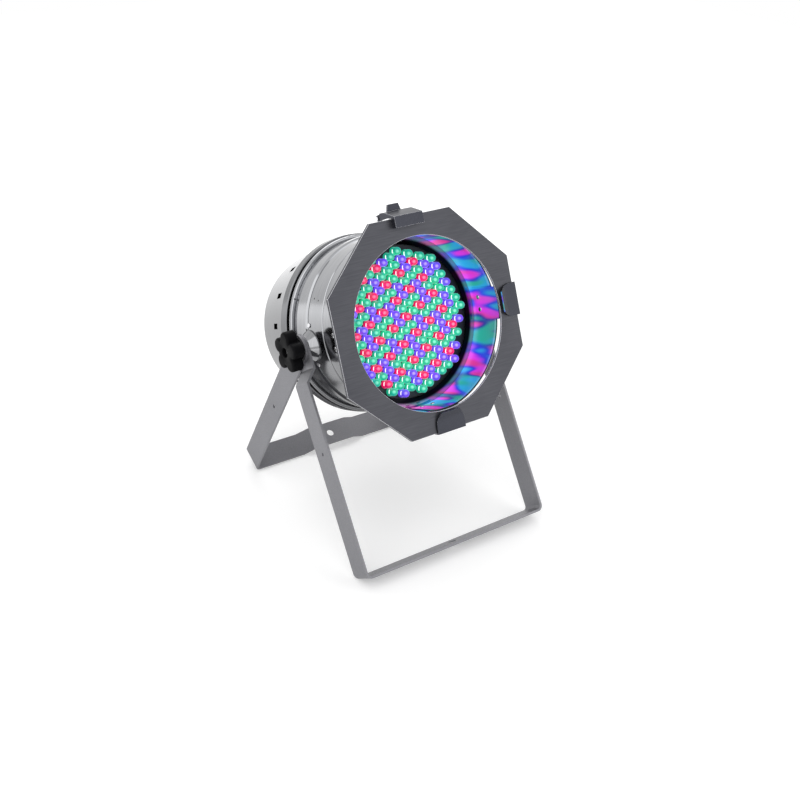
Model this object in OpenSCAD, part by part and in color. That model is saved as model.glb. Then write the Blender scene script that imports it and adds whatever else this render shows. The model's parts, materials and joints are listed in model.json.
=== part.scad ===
// Par can stage light with a field of small lamps, an octagonal gel frame and two yokes.
// It stands on both yokes, with the lamp tipped up.

/* [Can] */
// Outer radius of the spun can
can_r = 107; // [100:0.5:110]
// Wall of the can and of the housing
can_wall = 1.5; // [1:0.1:2]
// Front rim, ahead of the pivots
can_front = 84; // [80:1:90]
// Rear lip, behind the pivots
can_back = 43.5; // [40:0.5:50]
// Radius of the rolled wire in the front rim
rim_r = 2.5; // [2:0.1:3]
// Radius of the rolled wire in the rear lip
lip_r = 3; // [2.5:0.1:3.5]
// Start of the raised band, behind the pivots
band_back = 2; // [1:0.5:6]
// Width of the raised band
band_w = 12; // [8:0.5:16]
// Height of the raised band
band_h = 2; // [1:0.1:2.4]
// Place of the thin front rib, ahead of the pivots
rib_at = 33; // [28:0.5:40]
// Height of the thin front rib
rib_h = 0.8; // [0.5:0.1:1.2]
// How far the can's axis lies above the pivots
axis_rise = 4; // [0:0.5:6]

/* [Housing] */
// Width of the seam between the can and the housing
seam_w = 4.3; // [3.6:0.1:6]
// Depth of the housing's spigot inside the can
spigot_depth = 13.5; // [10:0.5:18]
// Clearance of the spigot in the can
spigot_gap = 0.25; // [0.1:0.05:0.4]
// Width of the flange behind the seam
flange_w = 15; // [10:0.5:20]
// Height of the flange over the can
flange_h = 6.2; // [5:0.1:8]
// Height of the taper's front end over the can
shoulder_h = 3.5; // [2:0.1:4]
// Radius of the taper's rear end
end_r = 95.5; // [90:0.5:100]
// Rear end, behind the pivots
housing_back = 146.5; // [140:0.5:160]
// Length of a vent
vent_len = 14.5; // [8:0.5:18]
// Width of a vent
vent_w = 7.2; // [4:0.2:9]
// Front edge of the vents, behind the pivots
vent_at = 84.5; // [76:0.5:100]
// Vents on each side
vents_side = 8; // [4:1:8]
// Angle from vent to vent
vent_step = 21.2; // [18:0.1:22]

/* [Lamps] */
// Spacing of the lamps
led_pitch = 11.83; // [11.7:0.01:13]
// Diameter of a lamp
led_d = 10; // [8:0.1:10.4]
// Height of a lamp over its board
led_h = 13.5; // [10:0.1:16]
// Collar at the foot of a lamp
led_collar = 0.6; // [0.3:0.05:0.6]
// Turn of the field
led_turn = -65.5; // [-90:0.5:0]
// First lamp, to the side of the axis
led_x = 4.67; // [-6:0.01:6]
// First lamp, above the axis
led_y = 5.37; // [-6:0.01:6]
// From the outermost lamps' middles to the can's inner wall
led_margin = 18.5; // [18.5:0.5:40]
// Face of the board, ahead of the pivots
board_at = 37.5; // [34:0.5:42]
// Thickness of the circuit boards
board_t = 1.6; // [1:0.1:2]
// Width of the black ring round the lamps
ring_w = 13; // [9.5:0.5:13]
// Depth of the black ring over the board
ring_h = 4; // [4:0.5:10]

/* [Gel frame] */
// Half the frame's width over the can's radius
frame_over = 20; // [18:0.5:21]
// Length of each upright or level flat
frame_flat = 112; // [104:1:120]
// How far the can's radius is over the opening's
aperture_less = 4.2; // [3:0.1:12]
// Thickness over both leaves
frame_t = 4; // [3.5:0.1:5]
// Sheet of one leaf
leaf_t = 1; // [0.8:0.1:1.2]
// Back face, ahead of the pivots
frame_at = 95.3; // [94:0.1:104]
// How far the frame hangs below the can's axis
frame_drop = 2.9; // [1:0.1:4]

/* [Clips] */
// Width of a clip
clip_w = 40; // [30:1:46]
// Sheet of the clips
clip_t = 1.5; // [1:0.1:2]
// Room between the frame and a clip
clip_gap = 1; // [0.6:0.1:1.2]
// Reach of a clip's flat tongue over the frame
tongue_len = 17; // [10:0.5:20]
// Length of the flared lip at the tongue's end
flare_len = 9; // [5:0.5:11]
// Angle of the flared lip
flare_turn = 24; // [10:1:40]
// Length of a clip's foot inside the can
foot_len = 36; // [28:1:38]
// Radius of a clip rivet
rivet_r = 1.6; // [1.2:0.1:2]
// Spacing of a clip's two rivets
rivet_gap = 16; // [10:1:24]

/* [Latch] */
// Width of the latch
latch_w = 39; // [34:1:46]
// Latch's middle, to the side of the axis
latch_x = -7; // [-8:0.5:8]
// Hinge pin, ahead of the pivots
pin_at = 72; // [68:0.5:74]
// Hinge pin, above the frame's top edge
pin_over = 2.9; // [1:0.1:4]
// Radius of the hinge pin
pin_r = 1.5; // [1.2:0.1:2]
// Depth of the front lip over the frame
lip_drop = 12; // [8:0.5:14]
// How far the lip stands off the frame
lip_out = 6.5; // [4:0.5:10]
// Height of the thumb tab
tab_h = 9; // [8:0.5:18]
// Width of the thumb tab
tab_w = 20; // [12:1:24]

/* [Yokes] */
// Width of the strap
strap_w = 32.3; // [26:0.1:34]
// Thickness of the strap
strap_t = 3; // [2:0.1:4]
// Outer radius of the strap's bends
bend_r = 8; // [6:0.5:12]
// How far the front arms stand out below their joggle
jog_out = 13.45; // [8:0.05:18]
// Pivots to the front yoke's crossbar, outside
front_len = 282.3; // [275:0.1:300]
// Pivots to the rear yoke's crossbar, outside
rear_len = 266.5; // [264:0.1:274]
// Lean of the front yoke from upright
front_lean = 35.2; // [33:0.1:38]
// Tip of the lamp from level
lamp_tilt = 24.1; // [20:0.1:28]
// Start of the joggle in the front arms, from the pivots
joggle_at = 26.5; // [25.5:0.5:32]
// Length of the joggle in the front arms
joggle_len = 14.5; // [13:0.5:20]
// Half the length of the rear crossbar's set-in middle
set_half = 31; // [24:1:40]
// How far the middle is set in
set_in = 7; // [4:0.5:10]
// Length of each slope beside the middle
set_run = 16; // [10:1:24]
// Diameter of the hanging holes
hang_d = 10.5; // [8:0.1:12.5]
// Diameter of the small arm holes
arm_hole_d = 4.5; // [4:0.1:6]
// Small arm holes, from the pivots
arm_hole_at = 127; // [100:1:150]

/* [Pivots] */
// Diameter of the pivot bolts
bolt_d = 8; // [6:0.5:9]
// Clearance of a bolt in the arms, on the radius
bolt_gap = 0.08; // [0.02:0.01:0.1]
// Diameter of the boss against the can
boss_d = 38; // [34:1:42]
// Diameter of the boss's outer face
boss_end_d = 25; // [20:1:30]
// Height of the boss over the can
boss_h = 11.5; // [10:0.1:13]
// Gap between faces in the stack of arms
stack_gap = 0.15; // [0.05:0.05:0.3]
// Thickness of the washers
washer_t = 1.5; // [1:0.1:2.5]
// Diameter of the washers
washer_d = 26; // [20:1:30]
// Radius of the knob over its lobes
knob_r = 25; // [20:0.1:25]
// Thickness of the lobed body
knob_h = 14.6; // [12:0.1:18]
// Height of the knob's hub
hub_h = 2.5; // [1.5:0.1:4]
// Lobes on a knob
lobes = 5; // [5:1:6]
// Turn of the lobes
lobe_turn = 58; // [0:1:72]
// How deep the bolt's end lies in the knob
bolt_deep = 4.5; // [1:0.1:6]

/* [Rear end] */
// Height of the sockets above the axis
socket_up = -34; // [-40:1:-30]
// Half the distance between the sockets
socket_half = 26; // [22:1:34]
// Bore of a socket's mouth
socket_bore = 18.6; // [16:0.1:19]
// Width of the display
display_w = 42; // [34:1:50]
// Height of the display
display_h = 17; // [12:0.5:20]
// Height of the display above the axis
display_up = 26; // [22:1:34]
// Spacing of the keys
key_step = 14; // [11:0.5:16]
// Diameter of a key
key_d = 7.5; // [6:0.1:9]
// Height of the keys above the axis
key_up = 3; // [0:1:6]
// Height that a key stands out
key_out = 1.8; // [1.4:0.1:2.5]
// Bore of the cable gland
gland_bore = 8; // [6:0.1:9]
// Height of the gland above the axis
gland_up = -68; // [-72:1:-62]
// Height of the safety eye above the axis
eye_up = 58; // [50:1:60]

/* [Hidden] */

fit = 0.05;
seat_gap = 0.3;
key_travel = 0.8;
// Switches on the driver board stop just short of the keys at full press
switch_h = 10 - board_t - seat_gap - 2 - key_travel - 0.1;
can_in = can_r - can_wall;
spigot_r = can_in - spigot_gap;
flange_at = can_back + seam_w;
shoulder_at = flange_at + flange_w;
plate_at = can_back + seam_w / 2;
led_field = can_in - led_margin;
ring_r = can_in - ring_w;
frame_w = 2 * (can_r + frame_over);
aperture_r = can_r - aperture_less;

// Heights that put both crossbars on the floor
pivot_h = front_len * cos(front_lean) + strap_w / 2 * sin(front_lean);
rear_reach = norm([rear_len, strap_w / 2]);
rear_lean = acos(pivot_h / rear_reach) + atan2(strap_w / 2, rear_len);
reach_front = front_len * sin(front_lean) + strap_w / 2 * cos(front_lean);
reach_back = housing_back * cos(lamp_tilt)
    + (axis_rise + end_r - can_wall) * sin(lamp_tilt);
pivot_y = (reach_front - reach_back) / 2;

// The stack along the pivots
boss_x = can_r + boss_h;
front_in_x = boss_x + stack_gap;
front_out_x = front_in_x + strap_t;
front_half = front_out_x + jog_out;
rear_in_x = front_out_x + stack_gap;
rear_half = rear_in_x + strap_t;
washer_x = rear_half + stack_gap;
knob_x = washer_x + washer_t + stack_gap;
knob_end = knob_x + hub_h + knob_h;

steel = [0.55, 0.55, 0.58];
polished = [0.78, 0.79, 0.8];
frame_grey = [0.42, 0.43, 0.46];
black = [0.09, 0.09, 0.1];

// The lamp's own place: pivots at the origin, beam along -Y, then tipped up
module in_lamp() translate([0, pivot_y, pivot_h]) rotate([-lamp_tilt, 0, 0]) children();
// Local Z runs forwards along the can's axis, from the pivots
module on_axis(f = 0) in_lamp() translate([0, 0, axis_rise]) rotate([90, 0, 0])
    translate([0, 0, f]) children();
// Local Z runs backwards out of the rear end, local X to the right seen from behind
module on_end(x = 0, up = 0) in_lamp() translate([x, housing_back, axis_rise + up])
    rotate([-90, 0, 0]) mirror([0, 1, 0]) children();
// Local Z runs along a pivot, outwards, on the left or the right
module on_pivot(side = 1) in_lamp() rotate([0, 90 * side, 0]) children();
module both_sides() for (side = [-1, 1]) on_pivot(side) children();

module annulus(r_out, r_in, h) difference() {
    cylinder(r = r_out, h = h, $fn = 128);
    translate([0, 0, -1]) cylinder(r = r_in, h = h + 2, $fn = 128);
}
module wire_ring(r, wire) rotate_extrude($fn = 128) translate([r, 0]) circle(r = wire, $fn = 24);

// ---- can ----
function wall_line(r, s) = concat(
    [[r, can_front - rim_r],
     [r, rib_at + rib_h * 2], [r + rib_h, rib_at + rib_h], [r + rib_h, rib_at - rib_h],
     [r, rib_at - rib_h * 2],
     [r, s - band_back], [r + band_h, s - band_back - band_h],
     [r + band_h, band_h - s - band_back - band_w], [r, -s - band_back - band_w],
     [r, lip_r - can_back]]);
function backwards(v) = [for (i = [len(v) - 1:-1:0]) v[i]];

module front_can() color(polished) difference() {
    on_axis() {
        rotate_extrude($fn = 128)
            polygon(concat(wall_line(can_r, 0), backwards(wall_line(can_in, -can_wall / 2))));
        translate([0, 0, can_front - rim_r]) wire_ring(can_in + rim_r + 0.3, rim_r);
        translate([0, 0, lip_r - can_back]) wire_ring(can_in + lip_r + 0.3, lip_r);
    }
    both_sides() cylinder(r = bolt_d / 2 + 0.1, h = can_r + 10, $fn = 32);
    pivot_rivet_places() cylinder(r = rivet_r + fit, h = can_r + 10, $fn = 24);
    clip_rivet_places() cylinder(r = rivet_r + fit, h = can_r + 10, $fn = 24);
    bracket_rivet_places() cylinder(r = rivet_r + fit, h = can_r + 10, $fn = 24);
}

// ---- housing ----
taper = (can_r + shoulder_h - end_r) / (housing_back - can_wall - shoulder_at);
function taper_r(back) = can_r + shoulder_h - taper * (back - shoulder_at);
module rear_housing() color(polished) difference() {
    on_axis() rotate_extrude($fn = 128) polygon([
        [spigot_r, spigot_depth - can_back],
        [spigot_r, -flange_at],
        [can_r + flange_h - 1.2, -flange_at],
        [can_r + flange_h, -flange_at - 1.2],
        [can_r + flange_h, -shoulder_at + 2],
        [can_r + shoulder_h, -shoulder_at],
        [end_r, can_wall - housing_back],
        [end_r - can_wall, -housing_back],
        [0, -housing_back],
        [0, can_wall - housing_back],
        [end_r - 2 * can_wall, can_wall - housing_back],
        [can_r + shoulder_h - can_wall, -shoulder_at],
        [can_r + flange_h - can_wall, 2 - shoulder_at],
        [can_r + flange_h - can_wall, -flange_at - can_wall],
        [spigot_r - can_wall, -flange_at - can_wall],
        [spigot_r - can_wall, spigot_depth - can_back]]);
    vent_places() translate([end_r - 12, -vent_w / 2, 0]) cube([30, vent_w, vent_len]);
    seam_places() cylinder(r = 1.5, h = spigot_r + 4, $fn = 24);
    for (s = [-1, 1]) on_end(s * socket_half, socket_up)
        translate([0, 0, -5]) cylinder(r = socket_bore / 2 + 2, h = 10, $fn = 48);
    socket_screw_places() translate([0, 0, -5]) cylinder(r = 1.5, h = 10, $fn = 24);
    on_end(0, display_up) translate([-display_w / 2 + 1.5, -display_h / 2 + 1.5, -5])
        cube([display_w - 3, display_h - 3, 10]);
    key_places() translate([0, 0, -5]) cylinder(r = key_d / 2 + 0.25, h = 10, $fn = 32);
    on_end(0, gland_up) translate([0, 0, -5]) cylinder(r = gland_bore / 2 + 3.6, h = 10, $fn = 32);
    for (s = [-1, 1]) on_end(s * eye_r, eye_up)
        translate([0, 0, -5]) cylinder(r = eye_wire + fit, h = 10, $fn = 24);
}
module vent_places() for (side = [0, 180]) for (i = [0:vents_side - 1])
    on_axis(-vent_at - vent_len) rotate([0, 0, side + (i - (vents_side - 1) / 2) * vent_step])
    children();
module seam_places() for (a = [62, 118, 242, 298])
    on_axis(-plate_at) rotate([0, 0, a]) rotate([0, 90, 0]) children();
module seam_screws() color(black) seam_places() {
    translate([0, 0, spigot_r - 4]) cylinder(r = 1.45, h = 4.2, $fn = 24);
    translate([0, 0, spigot_r + 0.08]) cylinder(r = 1.9, h = 1.8, $fn = 24);
}

// ---- lamps ----
// The colours repeat over two lattice steps, apart from a few lamps at the rim
rim_green = [[-6, -3], [-6, -2], [-6, 1], [2, -6], [6, 4]];
rim_blue = [[-2, -6], [0, -6], [4, -5], [7, -2]];
function has(list, i, j) = len([for (p = list) if (p == [i, j]) p]) > 0;
function led_kind(i, j) =
    has(rim_green, i, j) ? 1 :
    has(rim_blue, i, j) ? 2 :
    (i % 2 == 0 && j % 2 == 0) ? 0 :
    (j % 2 == 0) ? 1 :
    (i % 2 != 0) ? ((i - j) % 4 == 0 ? 1 : 2) :
    (i % 4 == 0 && ((j % 4) + 4) % 4 == 3) ? 1 : 2;
led_reach = ceil(led_field / led_pitch) + 1;
module led() {
    cylinder(r = led_d / 2 + led_collar, h = 1, $fn = 32);
    cylinder(r = led_d / 2, h = led_h - led_d / 2, $fn = 32);
    translate([0, 0, led_h - led_d / 2]) sphere(r = led_d / 2 - 0.1, $fn = 32);
}
module leds(kind) on_axis(board_at) for (i = [-led_reach:led_reach]) for (j = [-led_reach:led_reach]) {
    x = led_x + led_pitch * (i * cos(led_turn) + j * sin(led_turn));
    y = led_y + led_pitch * (i * sin(led_turn) - j * cos(led_turn));
    if (led_kind(i, j) == kind && i - j < 10 && norm([x, y]) <= led_field) translate([x, y, 0]) led();
}
module red_leds() color([0.95, 0.2, 0.45]) leds(0);
module green_leds() color([0.25, 0.8, 0.65]) leds(1);
module blue_leds() color([0.45, 0.3, 0.95]) leds(2);
module led_board() color([0.07, 0.1, 0.09]) difference() {
    on_axis(board_at - board_t) cylinder(r = can_in - 0.4, h = board_t, $fn = 96);
    pillar_places() translate([0, 0, -2]) cylinder(r = 1.6, h = 200, $fn = 24);
}
module led_ring() color(black) on_axis(board_at) {
    difference() {
        annulus(can_in - 0.3, ring_r, ring_h);
        translate([0, 0, -1]) cylinder(r = can_in - 1.8, h = ring_h - 0.5, $fn = 96);
    }
}
module pillar_places() for (a = [45:90:315]) on_axis(-plate_at) rotate([0, 0, a])
    translate([pillar_r, 0, 0]) children();
pillar_r = can_in - 8.5;
pillar_h = board_at - board_t + plate_at - 0.75;
module board_pillars() color(steel) difference() {
    pillar_places() translate([0, 0, 0.75]) cylinder(r = 3.5, h = pillar_h, $fn = 24);
    pillar_places() translate([0, 0, pillar_h - 8]) cylinder(r = 1.55, h = 20, $fn = 24);
}
module board_screws() color(steel) pillar_places() {
    translate([0, 0, pillar_h - 6]) cylinder(r = 1.5, h = 8.4, $fn = 24);
    translate([0, 0, pillar_h + 0.75 + board_t]) cylinder(r = 2.8, h = 2, $fn = 24);
}
module chassis_pan() color(steel) on_axis(-plate_at) difference() {
    translate([0, 0, -5]) cylinder(r = spigot_r - can_wall - 0.2, h = 10, $fn = 96);
    translate([0, 0, -6]) cylinder(r = spigot_r - 2 * can_wall, h = 5.25, $fn = 96);
    translate([0, 0, 0.75]) cylinder(r = spigot_r - 2 * can_wall, h = 6, $fn = 96);
    for (a = [62, 118, 242, 298]) rotate([0, 0, a]) rotate([0, 90, 0])
        translate([0, 0, 60]) cylinder(r = 1.5, h = 60, $fn = 24);
    for (x = [-1, 1]) translate([x * 60, 0, -5]) cylinder(r = 12, h = 10, $fn = 32);
}

// ---- electronics ----
power_at = plate_at + 12;
power_w = 1.3 * can_r;
power_l = 0.84 * can_r;
module power_board() color([0.1, 0.3, 0.2]) on_axis(-power_at) {
    translate([-power_w / 2, -power_l / 2, -board_t]) cube([power_w, power_l, board_t]);
    for (x = [-1, 1]) for (y = [-1, 1])
        translate([x * (power_w / 2 - 8), y * (power_l / 2 - 8), 0]) cylinder(r = 3, h = power_at - plate_at - 0.75, $fn = 24);
}
module power_parts() color([0.2, 0.2, 0.22]) on_axis(-power_at - board_t) mirror([0, 0, 1]) {
    translate([-58, -28, 0]) cube([44, 36, 30]);
    translate([-62, -24, 5]) cube([52, 28, 20]);
    for (x = [6, 28]) translate([x, -22, 0]) cylinder(r = 9, h = 30, $fn = 32);
    for (k = [0:4]) translate([-4 + 9 * k, 16, 3]) cube([3, 18, 24]);
    translate([-6, 15, 0]) cube([45, 20, 3.5]);
    translate([48, -30, 0]) cube([12, 40, 12]);
}
driver_at = housing_back - can_wall - 10;
driver_w = 0.784 * can_r;
module driver_board() color([0.1, 0.3, 0.2]) on_axis(-driver_at) {
    translate([-driver_w / 2, -4, 0]) cube([driver_w, 46, board_t]);
    for (x = [-1, 1] * (driver_w / 2 - 4)) for (y = [0, 38])
        translate([x, y, driver_at - housing_back + can_wall]) cylinder(r = 2.5, h = 10, $fn = 24);
}
module driver_parts() color(black) on_axis(-driver_at + board_t) {
    translate([-14, 8, 0]) cube([20, 20, 3]);
    translate([14, 6, 0]) cube([12, 24, 8]);
    for (x = [-30:6:-20]) translate([x, 12, 0]) cylinder(r = 2.4, h = 7, $fn = 24);
    for (k = [0:3]) translate([(k - 1.5) * key_step - 3, key_up - 3, -board_t - switch_h])
        cube([6, 6, switch_h]);
}

// ---- pivots ----
plate_half = 17;
module pivot_rivet_places() for (side = [0, 180]) for (s = [-1, 1])
    on_axis(1.5) rotate([0, 0, side]) rotate([0, 0, asin((s * 24 - axis_rise * cos(side)) / can_r)])
    rotate([0, 90, 0]) children();
module pivot_plates() color(steel) difference() {
    intersection() {
        on_axis(-plate_half) annulus(can_in - 0.15, can_in - 3.15, 2 * plate_half);
        for (s = [-1, 1]) in_lamp() translate([s * can_r, 0, 0])
            cube([can_r / 2, 4 * plate_half, 0.62 * can_r], center = true);
    }
    both_sides() cylinder(r = bolt_d / 2 + 0.1, h = can_r + 10, $fn = 32);
    pivot_rivet_places() cylinder(r = rivet_r + fit, h = can_r + 10, $fn = 24);
}
module pivot_rivets() color(steel) pivot_rivet_places() rivet(can_in - 3.15, can_r);
module pivot_bolts() color(steel) both_sides() {
    translate([0, 0, can_in - 10]) cylinder(r = 7.2, h = 6, $fn = 6);
    translate([0, 0, can_in - 8]) cylinder(r = bolt_d / 2, h = knob_end - can_in + 8 - bolt_deep, $fn = 32);
}
module pivot_spacers() color(steel) difference() {
    both_sides() rotate_extrude($fn = 64) polygon([
        [0, can_r - 6], [boss_d / 2, can_r - 6], [boss_d / 2, can_r + 0.6],
        [boss_d / 2 - 1, can_r + 2], [boss_end_d / 2 + 1.6, can_r + boss_h - 4],
        [boss_end_d / 2, boss_x - 1], [boss_end_d / 2 - 1, boss_x], [0, boss_x]]);
    on_axis(-60) cylinder(r = can_r + 0.1, h = 120, $fn = 128);
    on_axis(0.2 - band_back) mirror([0, 0, 1])
        cylinder(r = can_r + band_h + 0.1, h = band_w + 0.4, $fn = 128);
    both_sides() cylinder(r = bolt_d / 2 + bolt_gap, h = can_r + 30, $fn = 32);
}
module pivot_washers() color(black) both_sides() difference() {
    translate([0, 0, washer_x]) cylinder(r = washer_d / 2, h = washer_t, $fn = 48);
    translate([0, 0, washer_x - 1]) cylinder(r = bolt_d / 2 + bolt_gap, h = washer_t + 2, $fn = 32);
}
module knob() {
    core = knob_r * 0.65;
    lobe = knob_r * 0.36;
    difference() {
        union() {
            translate([0, 0, knob_x]) cylinder(r = 13, h = hub_h + 1, $fn = 48);
            translate([0, 0, knob_x + hub_h]) linear_extrude(knob_h - 1) knob_outline(core, lobe, 0);
            translate([0, 0, knob_end - 1.5]) linear_extrude(1.5) knob_outline(core, lobe, 0.9);
        }
        translate([0, 0, knob_x - 1]) cylinder(r = bolt_d / 2 + bolt_gap, h = 60, $fn = 32);
        translate([0, 0, knob_end - bolt_deep + 0.3]) cylinder(r = 6, h = knob_h, $fn = 32);
    }
}
module knob_outline(core, lobe, less) {
    circle(r = core - less, $fn = 48);
    for (k = [0:lobes - 1]) rotate(k * 360 / lobes) translate([knob_r - lobe, 0])
        circle(r = lobe - less, $fn = 32);
}
module knob_left() color(black) on_pivot(-1) rotate([0, 0, lobe_turn]) knob();
module knob_right() color(black) on_pivot(1) rotate([0, 0, lobe_turn]) knob();

// ---- gel frame ----
module octagon(less = 0) {
    h = frame_w / 2 - less;
    k = frame_flat / 2 - less * tan(22.5);
    polygon([[k, h], [-k, h], [-h, k], [-h, -k], [-k, -h], [k, -h], [h, -k], [h, k]]);
}
module on_frame(f = 0) on_axis(frame_at + f) translate([0, -frame_drop, 0]) children();
module gel_frame_front() color(frame_grey) on_frame() {
    difference() {
        linear_extrude(frame_t) octagon();
        translate([0, 0, -1]) linear_extrude(frame_t + 1 - leaf_t) octagon(leaf_t);
        translate([0, 0, -1]) cylinder(r = aperture_r, h = frame_t + 2, $fn = 128);
    }
    difference() {
        translate([0, 0, 0]) linear_extrude(leaf_t) octagon(leaf_t / 2);
        translate([0, 0, -1]) linear_extrude(leaf_t + 2) octagon(7);
    }
}
module gel_frame_back() color(frame_grey) on_frame() difference() {
    translate([0, 0, leaf_t + 0.1]) linear_extrude(leaf_t) octagon(leaf_t + 0.4);
    translate([0, 0, -1]) cylinder(r = aperture_r, h = frame_t + 2, $fn = 128);
}

// ---- clips ----
// Height of the frame's edge over the can's axis, at the given turn
function edge_at(turn) = frame_w / 2 - frame_drop * sin(turn);
module turned(turn) on_axis() rotate([0, 0, turn]) children();
module clip(turn, seat, hooked = true) {
    wall_x = edge_at(turn) + seat;
    foot_r = can_in - skin_gap;
    back_f = frame_at - clip_gap - clip_t;
    front_f = frame_at + frame_t + clip_gap;
    difference() {
        intersection() {
            translate([0, 0, can_front - foot_len])
                annulus(foot_r, foot_r - clip_t, back_f + clip_t - can_front + foot_len);
            translate([can_r / 2, -clip_w / 2, 0]) cube([can_r, clip_w, can_front + 60]);
        }
        for (s = [-1, 1]) rotate([0, 0, asin(s * rivet_gap / 2 / can_r)]) rotate([0, 90, 0])
            translate([-rivet_f, 0, 0]) cylinder(r = rivet_r + fit, h = can_r, $fn = 24);
    }
    difference() {
        translate([can_r / 2, -clip_w / 2, back_f])
            cube([(hooked ? wall_x + clip_t : edge_at(turn) - 3) - can_r / 2, clip_w, clip_t]);
        translate([0, 0, back_f - 1]) cylinder(r = foot_r - 0.4, h = clip_t + 2, $fn = 128);
    }
    if (hooked) {
        translate([wall_x, -clip_w / 2, back_f]) cube([clip_t, clip_w, front_f + clip_t - back_f]);
        translate([wall_x + clip_t, 0, front_f]) tongue();
    }
}
rivet_f = can_front - foot_len / 2 - 8;
// The tongue and its flared lip, with a D-shaped outline
module tongue() intersection() {
    rotate([90, 0, 0]) translate([0, 0, -clip_w]) linear_extrude(2 * clip_w) polygon([
        [0, 0], [-tongue_len, 0],
        [-tongue_len - flare_len * cos(flare_turn), flare_len * sin(flare_turn)],
        [-tongue_len - flare_len * cos(flare_turn) + clip_t * sin(flare_turn),
         flare_len * sin(flare_turn) + clip_t * cos(flare_turn)],
        [-tongue_len + clip_t * tan(flare_turn / 2), clip_t], [0, clip_t]]);
    translate([0, 0, -1]) union() {
        translate([-tongue_len + 6, -clip_w / 2, 0]) cube([40, clip_w, 20]);
        translate([-tongue_len + 8, 0, 0]) cylinder(r = clip_w / 2 - 0.02, h = 20, $fn = 64);
    }
}
// The left clip only backs the frame: the frame goes in from this side
module clip_left() color(steel) turned(180) clip(180, clip_gap, false);
module clip_right() color(steel) turned(0) clip(0, clip_gap);
module clip_bottom() color(steel) turned(270) clip(270, seat_gap);
module clip_rivet_places() for (turn = [180, 0, 270]) for (s = [-1, 1])
    on_axis(rivet_f) rotate([0, 0, turn + asin(s * rivet_gap / 2 / can_r)]) rotate([0, 90, 0])
    children();
module bracket_rivet_places() for (s = [-1, 1])
    on_axis(pin_at - 12) rotate([0, 0, 90 + asin((s * 11 - latch_x) / can_r)]) rotate([0, 90, 0]) children();
module clip_rivets() color([0.8, 0.8, 0.82]) {
    clip_rivet_places() rivet(can_in - skin_gap - clip_t, can_r);
    bracket_rivet_places() rivet(can_in, can_r + skin_gap + clip_t);
}
// A rivet through everything between two radii of the can
module rivet(inner, outer) {
    translate([0, 0, inner - 1.35]) cylinder(r = 2.8, h = 1.2, $fn = 24);
    translate([0, 0, inner - 0.6]) cylinder(r = rivet_r, h = outer - inner + 1.2, $fn = 24);
    translate([0, 0, outer + 0.05]) cylinder(r = 2.8, h = 1.3, $fn = 24);
}
skin_gap = 0.15;

// ---- latch ----
// Top of the frame's edge, and the latch's underside over it
frame_top = edge_at(90);
latch_under = frame_top + clip_gap;
pin_z = frame_top + pin_over;
bracket_w = latch_w - 2 * clip_t - 1;
lip_f = frame_at + frame_t + lip_out;
ear_r = pin_r + 1.9;
module at_latch() turned(90) translate([0, -latch_x, 0]) children();
module on_pin() at_latch() translate([pin_z, 0, pin_at]) rotate([90, 0, 0]) children();
// Side view of the latch: first the distance ahead of the pivots, then the height over the axis
module side_plate(y, t) at_latch() translate([0, y - t / 2, 0]) rotate([0, -90, -90])
    linear_extrude(t) children();
module latch_bracket() color(steel) difference() {
    union() {
        intersection() {
            on_axis(pin_at - 16) annulus(can_r + skin_gap + clip_t, can_r + skin_gap, 20);
            at_latch() translate([can_r / 2, -bracket_w / 2, 0]) cube([can_r, bracket_w, 2 * pin_at]);
        }
        for (s = [-1, 1]) side_plate(s * (bracket_w - clip_t) / 2, clip_t) {
            translate([pin_at, pin_z]) circle(r = ear_r, $fn = 32);
            polygon([[pin_at - 10, can_r - 4], [pin_at + 3, can_r - 4],
                [pin_at + ear_r, pin_z], [pin_at - ear_r, pin_z]]);
        }
    }
    on_axis() cylinder(r = can_r + skin_gap, h = can_front, $fn = 128);
    on_pin() translate([0, 0, -40]) cylinder(r = pin_r + fit, h = 80, $fn = 24);
    bracket_rivet_places() cylinder(r = rivet_r + fit, h = can_r + 20, $fn = 24);
}
module latch_pin() color(steel) on_pin() {
    translate([0, 0, -latch_w / 2 - 1]) cylinder(r = pin_r, h = latch_w + 2, $fn = 24);
    for (s = [-1, 1]) translate([0, 0, s * (latch_w / 2 + 0.9) - 0.6])
        cylinder(r = pin_r + 1, h = 1.2, $fn = 24);
}
spring_in = pin_r + 0.3;
spring_wire = 1;
spring_turns = 9;
// The bracket's floor falls away with the can to the side of the axis
spring_foot = sqrt(pow(can_r + skin_gap + clip_t, 2) - pow(3.5 + latch_x, 2)) + 0.1;
module latch_spring() color([0.8, 0.8, 0.8]) {
    on_pin() translate([0, 0, -spring_turns * spring_wire / 2]) rotate_extrude($fn = 48)
        polygon(concat([[spring_in, spring_turns * spring_wire], [spring_in, 0]],
            [for (k = [0:spring_turns - 1]) for (p = [0, 1])
                [spring_in + spring_wire * (0.6 + 0.4 * p), spring_wire * (k + p / 2)]],
            [[spring_in + spring_wire * 0.6, spring_turns * spring_wire]]));
    // One end on the bracket's floor, the other against the latch's side
    at_latch() translate([spring_foot, -3.5, pin_at - spring_in - 0.5])
        rotate([0, 90, 0]) cylinder(r = spring_wire / 2, h = pin_z - spring_foot, $fn = 16);
    at_latch() translate([pin_z + spring_in + 0.5, 3.5, pin_at])
        cylinder(r = spring_wire / 2, h = 8.5, $fn = 16);
    at_latch() translate([pin_z + spring_in + 0.5, 3.3, pin_at + 8]) rotate([-90, 0, 0])
        cylinder(r = spring_wire / 2.4, h = latch_w / 2 - clip_t - 3.5, $fn = 16);
}
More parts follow.
